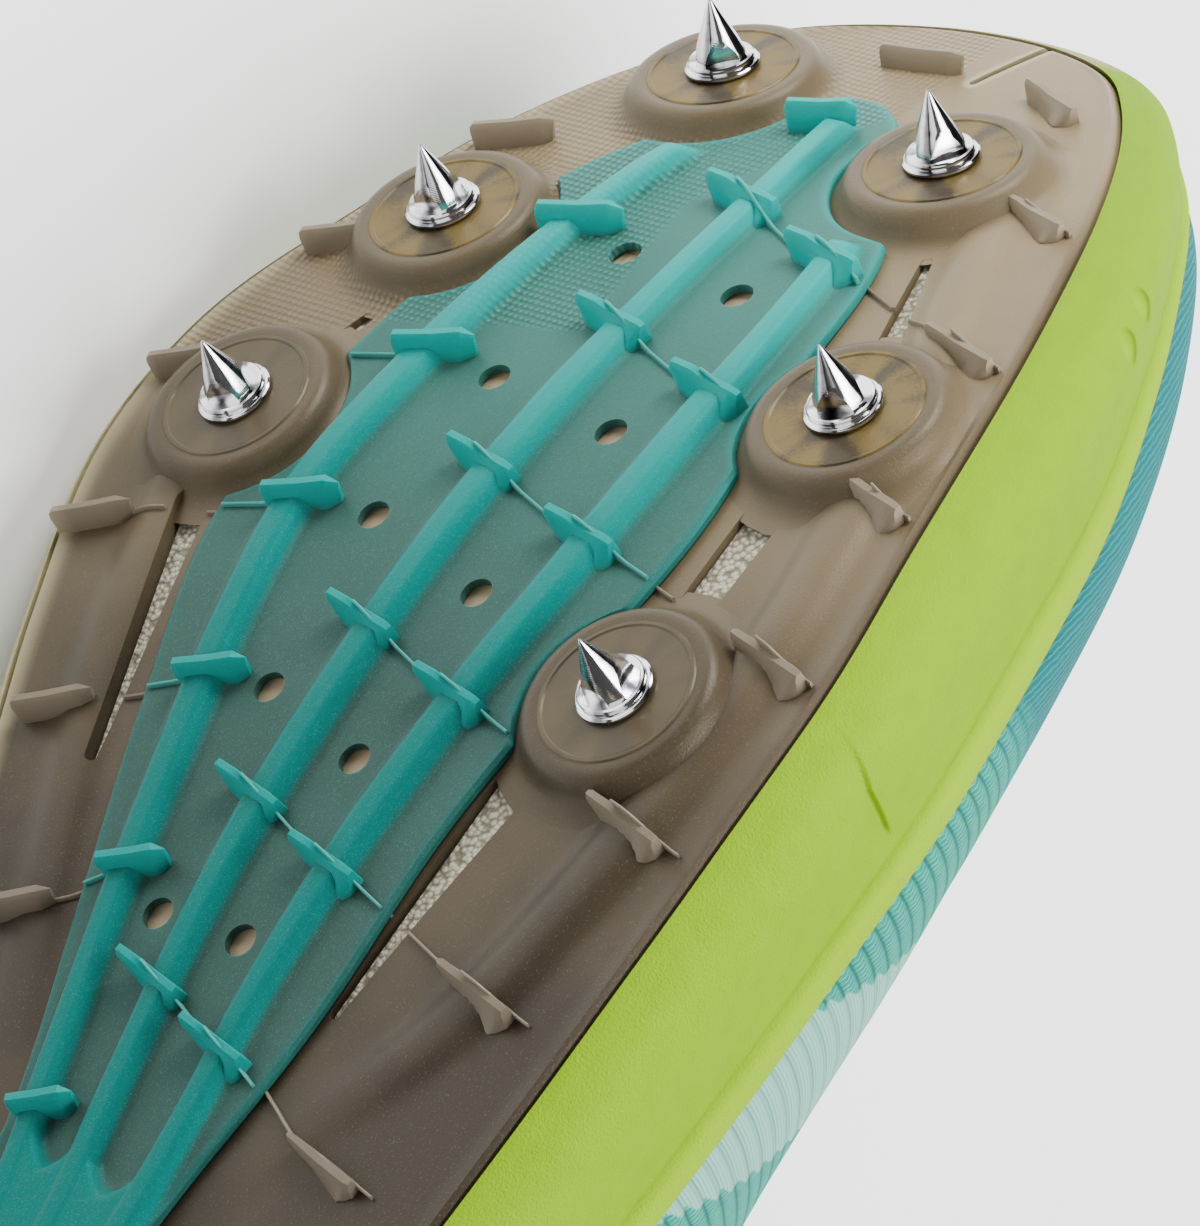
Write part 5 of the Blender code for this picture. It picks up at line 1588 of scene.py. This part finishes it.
class SPIKE_OT_midsole(ShoeOperator, bpy.types.Operator):
    """Foam midsole with its flared sidewall, lip, dimples and crease"""
    bl_idname = "spike_shoe.midsole"
    bl_label = "Midsole"

    def execute(self, context):
        fine = [plate_outline.share(np.linspace(*span)) for span in RELIEF_SPANS]
        s = np.unique(np.concatenate([front_dense(FOAM_RINGS)] + fine))
        rings = closed_sections(sole_section(s, 1), sole_section(s, -1))
        station = np.broadcast_to(plate_outline.station(s)[:, None], rings.shape[:2])
        pieces = [skin("midsole_body", rings, wrap=True, values={"station": station})]
        for i, row in enumerate(SLOTS[:-1]):
            pieces.append(slot_block("slot_fill_%d" % i, row, SLOT_FILL, SLOT_FILL_WIDER))
        piece = join("midsole_foam", pieces)
        x, y, z = shoe_places(piece.data).T
        share = (z - sole_bottom(x)) / sole_stack(x)
        # Painted glow: pale colour on the lower medial sidewall under the plate's edge
        hem = (1.0 - ease(*GLOW_SIDE, y)) * (1.0 - ease(*GLOW_TOP, share)) * ease(*GLOW_BACK, x)
        store(piece.data, "share", share)
        store(piece.data, "lateral", y > plate_outline.lateral(plate_outline.share(x)) - LATERAL_BAND)
        store(piece.data, "hem", hem)
        store(piece.data, "bed", ease(*BED_EDGE, plate_outline.depth(x, y)) * (share < BED_TOP))
        finish_piece(piece, foam_material(context.scene.spike_sole), ["midsole"], FOAM_ANGLE)
        return {"FINISHED"}


def dimpled_field(x, y):
    """Where the sole carries its field of fine dimples: medial side of the toe half."""
    back = np.interp(y, *FIELD_BACK)
    side = np.interp(x, *FIELD_SIDE)
    return ease(-FIELD_EDGE, FIELD_EDGE, x - back) * ease(-FIELD_EDGE, FIELD_EDGE, side - y)


def mark_fins(pieces):
    """Notes on each piece's points whether it is a fin (1), a thin line (2) or neither (0)."""
    for piece in pieces:
        is_fin, is_line = "_fin" in piece.name, "_line" in piece.name
        store(piece.data, "fin", 1.0 if is_fin else 2.0 if is_line else 0.0)


def on_body(mesh):
    """Which points of a joined mesh lie neither on a fin nor on a thin line."""
    marks = np.zeros(len(mesh.vertices))
    mesh.attributes["fin"].data.foreach_get("value", marks)
    return marks < 0.5


class SPIKE_OT_plate(ShoeOperator, bpy.types.Operator):
    """Grey plate with rails, bosses, slots, edge fins and the thin lines between fins"""
    bl_idname = "spike_shoe.plate"
    bl_label = "Plate"

    def execute(self, context):
        plate = skin("plate_body", plate_rings(), wrap=True)
        cut(plate, [slot_block("slot_%d" % i, row, SLOT_CUT) for i, row in enumerate(SLOTS)])
        pieces = [plate] + [boss(row) for row in SPIKES] + self.fins() + self.lines()
        mark_fins(pieces)
        whole = join("plate_skin", pieces)
        mesh = whole.data
        x, y, z = shoe_places(mesh).T
        depth = plate_outline.depth(x, y)
        # Pale round the toe slit, and painted glow along the thin medial rim
        slit = 1.0 - ease(*SLIT_EDGE, beside_slot(np.stack([x, y], axis=1), SLOTS[-1])[0])
        rim = (1.0 - ease(*PALE_RIM, depth)) * (1.0 - ease(*PALE_RIM_SIDE, y))
        store(mesh, "rim", np.maximum(rim, slit))
        flat = (1.0 - ease(*FIELD_LIFT, sole_bottom(x) - z)) * on_body(mesh)
        store(mesh, "dimpled", dimpled_field(x, y) * flat)
        # Painted shade: darker plate on the boss skirts and along the lateral edge, off the fins and lines
        bosses = np.min([np.hypot(x - row.x, y - row.y) for row in SPIKES], axis=0)
        edge = (1.0 - ease(*DARK_RIM, depth)) * ease(*DARK_RIM_SIDE, y) * (1.0 - ease(*DARK_RIM_FRONT, x))
        store(mesh, "boss", np.maximum(1.0 - ease(*DARK_RING, bosses), edge) * on_body(mesh))
        # Pale plate seen through the holes, partly painted light that lifts their shade
        holes = np.min([np.hypot(x - a, y - b) for a, b in hole_places()], axis=0)
        store(mesh, "hole", 1.0 - ease(*PALE_HOLE, holes))
        material = plate_material(context.scene.spike_sole)
        finish_piece(whole, material, ["outsole_plate"], PLATE_ANGLE)
        return {"FINISHED"}

    def fins(self):
        """Fins along the edges, those of the lateral edge with a thin line, and the two at the toe."""
        pieces = []
        for name, fins in edge_fins.items():
            for k, fin in enumerate(fins):
                height = EDGE_FIN_LOW if fin.turn < 0 else EDGE_FIN_HEIGHT
                height += EDGE_FIN_RISE * float(plate_relief(fin.x, fin.y))
                pieces.append(blade("edge_fin_%s_%d" % (name, k), fin, height, EDGE_FIN_BASE))
                if fin.turn < 0:
                    start, end = [fin_point(fin, share, LINE_FORWARD) for share in EDGE_LINE_SPAN]
                    pieces += traced_line("edge_line_%d" % k, start, end, 0.0, EDGE_LINE_SHARE * height,
                                          EDGE_LINE_SHARE * fin.length, inside_edge)
        for k, fin in enumerate(TOE_FINS):
            pieces.append(blade("toe_fin_%d" % k, fin, TOE_FIN_HEIGHT, EDGE_FIN_BASE))
        return pieces

    def lines(self):
        """Thin lines from the edge fins to the fins of the outer ribs."""
        pieces = []
        for k, (edge, rib) in enumerate(zip(edge_fins["medial"][1:], rib_fins["medial"])):
            pieces += traced_line("medial_line_%d" % k, fin_point(edge, 1.0), fin_point(rib, 0.0), 0.0)
        for k, (edge, rib) in enumerate(zip(edge_fins["lateral"][1:], rib_fins["lateral"])):
            pieces += traced_line("lateral_line_%d" % k, fin_point(rib, 1.0), fin_point(edge, 0.0), 0.0)
        return pieces


class SPIKE_OT_traction(ShoeOperator, bpy.types.Operator):
    """Teal traction plate: sheet with holes, three ribs that meet in a hub, fins and thin lines"""
    bl_idname = "spike_shoe.traction"
    bl_label = "Traction plate"

    def execute(self, context):
        sheet = skin("traction_sheet", traction_rings(), wrap=True, cap=True)
        cut(sheet, [hole_tool(k, *place) for k, place in enumerate(hole_places())])
        pieces = [sheet]
        for name, fins in rib_fins.items():
            for k, fin in enumerate(fins):
                pieces.append(blade("rib_fin_%s_%d" % (name, k), fin, GAP + RIB_FIN_HEIGHT, TRACTION_TOP))
        pieces.append(blade("front_fin", FRONT_FIN, GAP + RIB_FIN_HEIGHT, TRACTION_TOP))
        pieces += self.lines()
        mark_fins(pieces)
        whole = join("traction_skin", pieces)
        mesh = whole.data
        x, y, z = shoe_places(mesh).T
        medial, lateral = traction_limits(x)
        store(mesh, "lift", sole_bottom(x) - z)
        store(mesh, "rim", 1.0 - ease(*SHEET_RIM, np.minimum(y - medial, lateral - y)))
        store(mesh, "dimpled", dimpled_field(x, y) * on_body(mesh))
        material = traction_material(context.scene.spike_sole)
        finish_piece(whole, material, ["traction_plate"], PLATE_ANGLE)
        return {"FINISHED"}

    def lines(self):
        """Thin lines from the fins towards the lateral side, and from the medial ones to the medial edge."""
        pieces = []
        high = GAP + RIB_LINE_SHARE * RIB_FIN_HEIGHT - TRACTION_TOP
        for k, (medial, middle, lateral) in enumerate(zip(*rib_fins.values())):
            lateral_end = fin_point(edge_fins["lateral"][k + 1], 0.0)
            for name, fin, end, keep in (("rib", middle, fin_point(lateral, RIB_LINE_END), None),
                                         ("rim", lateral, lateral_end, over_sheet)):
                start = fin_point(fin, RIB_LINE_START, LINE_FORWARD)
                fall = RIB_LINE_FALL * fin.length
                pieces += traced_line("%s_line_%d" % (name, k), start, end, TRACTION_TOP, high, fall, keep)
            if k + 1 < len(edge_fins["medial"]):
                start = fin_point(medial, BAR_LINE_START)
                end = fin_point(edge_fins["medial"][k + 1], 1.0)
                pieces += traced_line("bar_line_%d" % k, start, end, TRACTION_TOP, keep=over_sheet)
        return pieces


class SPIKE_OT_spikes(ShoeOperator, bpy.types.Operator):
    """Six turned spikes with wrench flats, and the brass seats that hold them"""
    bl_idname = "spike_shoe.spikes"
    bl_label = "Spikes and seats"

    def execute(self, context):
        props = context.scene.spike_steel
        chrome, brass = chrome_material(props), seat_material(props)
        flange = lathe("flange", FLANGE_PROFILE, props.sides)
        cone = lathe("cone", CONE_PROFILE, props.sides)
        bpy.ops.object.mode_set(mode="EDIT")
        for k in range(FLAT_COUNT):
            bpy.ops.mesh.select_all(action="SELECT")
            angle = math.radians(360.0 / FLAT_COUNT * k)
            way = (math.cos(angle), math.sin(angle), FLAT_TAPER)
            spot = (way[0] * props.flat_depth / MM, way[1] * props.flat_depth / MM, FLAT_HEIGHT)
            bpy.ops.mesh.bisect(plane_co=spot, plane_no=way, use_fill=True, clear_outer=True)
        bpy.ops.object.mode_set(mode="OBJECT")
        model = join("spike_model", [flange, cone])
        seat = lathe("seat_model", SEAT_PROFILE, props.sides)
        for number, row in enumerate(SPIKES):
            spike = copy_of(model, "spike_turned_" + row.letter)
            set_on_plate(spike, row.x, row.y, row.turn, BOSS_HEIGHT + SPIKE_LIFT)
            finish_piece(spike, chrome, ["spike_" + row.letter], METAL_ANGLE)
            disc = copy_of(seat, "seat_turned_" + row.letter)
            set_on_plate(disc, row.x, row.y, SEAT_TURN * number)
            store(disc.data, "dull", row.letter in DULL_SEATS)
            finish_piece(disc, brass, ["spike_seat_" + row.letter], METAL_ANGLE)
        for part in (model, seat):
            bpy.data.objects.remove(part, do_unlink=True)
        return {"FINISHED"}


def both_sides(front, count):
    """Shares from the front round the heel and back to the front, and the side of the shoe at each."""
    shares = np.concatenate([np.linspace(front, 0.0, count), np.linspace(0.0, front, count)[1:]])
    return shares, np.where(np.arange(len(shares)) < count, 1, -1)


class SPIKE_OT_upper(ShoeOperator, bpy.types.Operator):
    """Hollow knit upper with its lining, eyelets and bound edge"""
    bl_idname = "spike_shoe.upper"
    bl_label = "Upper"

    def execute(self, context):
        props = context.scene.spike_upper
        shares, sides = [values[:-1] for values in both_sides(1.0, UPPER_COLUMNS)]
        levels = np.linspace(0.0, 1.0, UPPER_ROWS)[:, None]
        wall = wall_point(shares, sides, levels)
        around = travelled(wall[0])
        around = np.where(sides > 0, around, around - around[-1])
        climb = travelled(wall)
        closed = np.where(plate_outline.station(shares) > THROAT_FRONT, 1.0, 0.0)
        weave = np.stack([np.broadcast_to(around, climb.shape), climb, levels * closed], axis=-1)
        piece = skin("upper_knit", wall, wrap=True, values={"weave": weave}, outward=False)
        mesh = piece.data
        centre = Vector(laid(UPPER_INSIDE))
        if sum((face.center - centre).dot(face.normal) for face in mesh.polygons) < 0.0:
            mesh.flip_normals()
        mesh.materials.append(knit_material(props))
        lining = cloth_material("upper_lining", props.lining, props.band_shade, pitch=0.9, rough=0.8)
        mesh.materials.append(lining)
        thicken = piece.modifiers.new("wall", "SOLIDIFY")
        thicken.thickness = UPPER_WALL * MM
        thicken.offset = -1.0
        thicken.use_even_offset = True
        thicken.material_offset = 1
        make_active(piece)
        bpy.ops.object.modifier_apply(modifier=thicken.name)
        cut(piece, [eyelet_tool(row, side) for row in range(EYELET_ROWS) for side in (1, -1)])
        finish_piece(piece, None, ["upper"], CLOTH_ANGLE)
        self.bind_edge(props)
        return {"FINISHED"}

    def bind_edge(self, props):
        """Rolled tape over the edge of throat and collar."""
        shares, sides = both_sides(float(plate_outline.share(THROAT_FRONT - TAPE_BACK)), TAPE_COLUMNS)
        out = wall_normal(shares, sides, 1.0)
        middle = wall_point(shares, sides, 1.0) - out * UPPER_WALL / 2.0
        for _ in range(TAPE_SMOOTHING):
            middle = (np.roll(middle, 1, axis=0) + 2.0 * middle + np.roll(middle, -1, axis=0)) / 4.0
        rise = unit(np.cross(out, unit(np.roll(middle, -1, axis=0) - np.roll(middle, 1, axis=0))))
        rise = rise * np.where(rise[:, 2:] < 0.0, -1.0, 1.0)
        steps = travelled(middle)
        rings, woven = [], []
        for angle in np.append(round_angles(TAPE_SIDES), 0.0):
            high = TAPE_HIGH * math.sin(angle) - TAPE_DROP
            rings.append(middle + out * TAPE_WIDE * math.cos(angle) + rise * high)
            woven.append(np.stack([steps, np.full_like(steps, angle), np.zeros_like(steps)], axis=1))
        tape = skin("edge_tape", rings, wrap=True, values={"weave": woven})
        material = cloth_material("edge_tape_knit", props.knit, props.knit_shade, pitch=0.8, rough=0.8,
                                  attribute="weave")
        finish_piece(tape, material, (), CLOTH_ANGLE)


class SPIKE_OT_tongue(ShoeOperator, bpy.types.Operator):
    """Soft tongue under the throat"""
    bl_idname = "spike_shoe.tongue"
    bl_label = "Tongue"

    def execute(self, context):
        props = context.scene.spike_upper
        piece = copy_of(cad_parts["tongue"], "tongue_pad")
        piece.hide_render = False
        for key in list(piece.keys()):
            del piece[key]
        piece.parent = None
        make_active(piece)
        bpy.ops.object.mode_set(mode="EDIT")
        bpy.ops.mesh.select_all(action="SELECT")
        bpy.ops.mesh.remove_doubles(threshold=TONGUE_MERGE)
        bpy.ops.mesh.tris_convert_to_quads()
        bpy.ops.object.mode_set(mode="OBJECT")
        soften = piece.modifiers.new("soften", "SUBSURF")
        soften.levels = 2
        soften.render_levels = 2
        bpy.ops.object.modifier_apply(modifier=soften.name)
        material = cloth_material("tongue_cloth", props.band, props.band_shade, pitch=1.1, rough=0.8)
        finish_piece(piece, material, ["tongue"], CLOTH_ANGLE)
        return {"FINISHED"}


class SPIKE_OT_lace(ShoeOperator, bpy.types.Operator):
    """Flat lace through the eyelets: a bar at the front and crossings behind it"""
    bl_idname = "spike_shoe.lace"
    bl_label = "Lace"

    def execute(self, context):
        props = context.scene.spike_upper
        material = cloth_material("lace_weave", props.lace, props.band_shade, pitch=0.7, rough=0.8,
                                  attribute="weave")
        bar = lace_piece("lace_front_bar", LACE_BAR_ROW, LACE_BAR_ROW, 0.0)
        finish_piece(bar, material, ["lace_bar"], CLOTH_ANGLE)
        for row in range(EYELET_ROWS - 1):
            front, back = row + LACE_SPLAY, row + 1.0 - LACE_SPLAY
            under = lace_piece("lace_under_%d" % row, front, back, 0.0)
            over = lace_piece("lace_over_%d" % row, back, front, LACE_HUMP)
            pair = join("lace_pair_%d" % (row + 1), [under, over])
            finish_piece(pair, material, ["lace_crossing_%d" % (row + 1)], CLOTH_ANGLE)
        return {"FINISHED"}


class SPIKE_OT_insole(ShoeOperator, bpy.types.Operator):
    """Sock liner with rounded edges"""
    bl_idname = "spike_shoe.insole"
    bl_label = "Insole"

    def execute(self, context):
        props = context.scene.spike_upper
        s = np.linspace(0.0, 1.0, INSOLE_RINGS)
        piece = skin("insole_liner", closed_sections(insole_section(s, 1), insole_section(s, -1)), wrap=True)
        material = cloth_material("insole_cloth", props.insole, props.insole_shade, pitch=1.0, rough=0.85)
        finish_piece(piece, material, ["insole"], FOAM_ANGLE)
        return {"FINISHED"}


class SPIKE_OT_stage(ShoeOperator, bpy.types.Operator):
    """Pale floor, soft lights and the camera"""
    bl_idname = "spike_shoe.stage"
    bl_label = "Stage"

    def execute(self, context):
        props = context.scene.spike_stage
        clear_selection()
        bpy.ops.mesh.primitive_plane_add(size=props.floor_size)
        floor = context.active_object
        floor.name = "floor"
        bpy.ops.object.mode_set(mode="EDIT")
        bpy.ops.mesh.subdivide(number_cuts=4)
        bpy.ops.object.mode_set(mode="OBJECT")
        floor.data.materials.append(floor_material(props))
        for row, power in zip(LIGHTS, (props.key_power, props.top_power, props.fill_power)):
            bpy.ops.object.light_add(type="AREA", location=row.place)
            light = context.active_object
            light.name = row.name
            light.data.energy = power
            light.data.size = row.size
            aim = Vector(laid(LIGHT_AIM)) - Vector(row.place)
            light.rotation_euler = aim.to_track_quat("-Z", "Y").to_euler()
        world = bpy.data.worlds.new("studio")
        world.use_nodes = True
        world.node_tree.nodes["Background"].inputs["Color"].default_value = (1.0, 1.0, 1.0, 1.0)
        world.node_tree.nodes["Background"].inputs["Strength"].default_value = props.sky
        context.scene.world = world
        bpy.ops.object.camera_add()
        camera = context.active_object
        camera.name = "photo_camera"
        turn = Matrix((CAMERA_RIGHT, -CAMERA_DOWN, -CAMERA_AHEAD)).transposed()
        camera.matrix_world = Matrix.Translation(CAMERA_EYE) @ turn.to_4x4()
        camera.data.sensor_fit = "VERTICAL"
        camera.data.sensor_height = SENSOR_HEIGHT
        camera.data.lens = props.lens
        camera.data.clip_start = CLIP_START
        context.scene.camera = camera
        return {"FINISHED"}


class SPIKE_PT_panel(bpy.types.Panel):
    """Lists the pieces of the shoe"""
    bl_idname = "SPIKE_PT_panel"
    bl_label = "Cross country spike"
    bl_space_type = "VIEW_3D"
    bl_region_type = "UI"
    bl_category = "Spike shoe"

    def draw(self, context):
        for operator in OPERATORS:
            self.layout.operator(operator.bl_idname)


SETTINGS = {"spike_sole": SoleSettings, "spike_steel": SpikeSettings, "spike_upper": UpperSettings,
            "spike_stage": StageSettings}
OPERATORS = (SPIKE_OT_midsole, SPIKE_OT_plate, SPIKE_OT_traction, SPIKE_OT_spikes, SPIKE_OT_upper,
             SPIKE_OT_tongue, SPIKE_OT_lace, SPIKE_OT_insole, SPIKE_OT_stage)


def register():
    for kind in (*SETTINGS.values(), *OPERATORS, SPIKE_PT_panel):
        bpy.utils.register_class(kind)
    for name, kind in SETTINGS.items():
        setattr(bpy.types.Scene, name, bpy.props.PointerProperty(type=kind))


def unregister():
    for name in SETTINGS:
        delattr(bpy.types.Scene, name)
    for kind in (SPIKE_PT_panel, *OPERATORS, *SETTINGS.values()):
        bpy.utils.unregister_class(kind)


def main():
    register()
    bpy.ops.spike_shoe.stage()
    bpy.ops.spike_shoe.midsole()
    bpy.ops.spike_shoe.plate()
    bpy.ops.spike_shoe.traction()
    bpy.ops.spike_shoe.spikes()
    bpy.ops.spike_shoe.upper()
    bpy.ops.spike_shoe.tongue()
    bpy.ops.spike_shoe.lace()
    bpy.ops.spike_shoe.insole()
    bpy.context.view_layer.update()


if __name__ == "__main__":
    main()
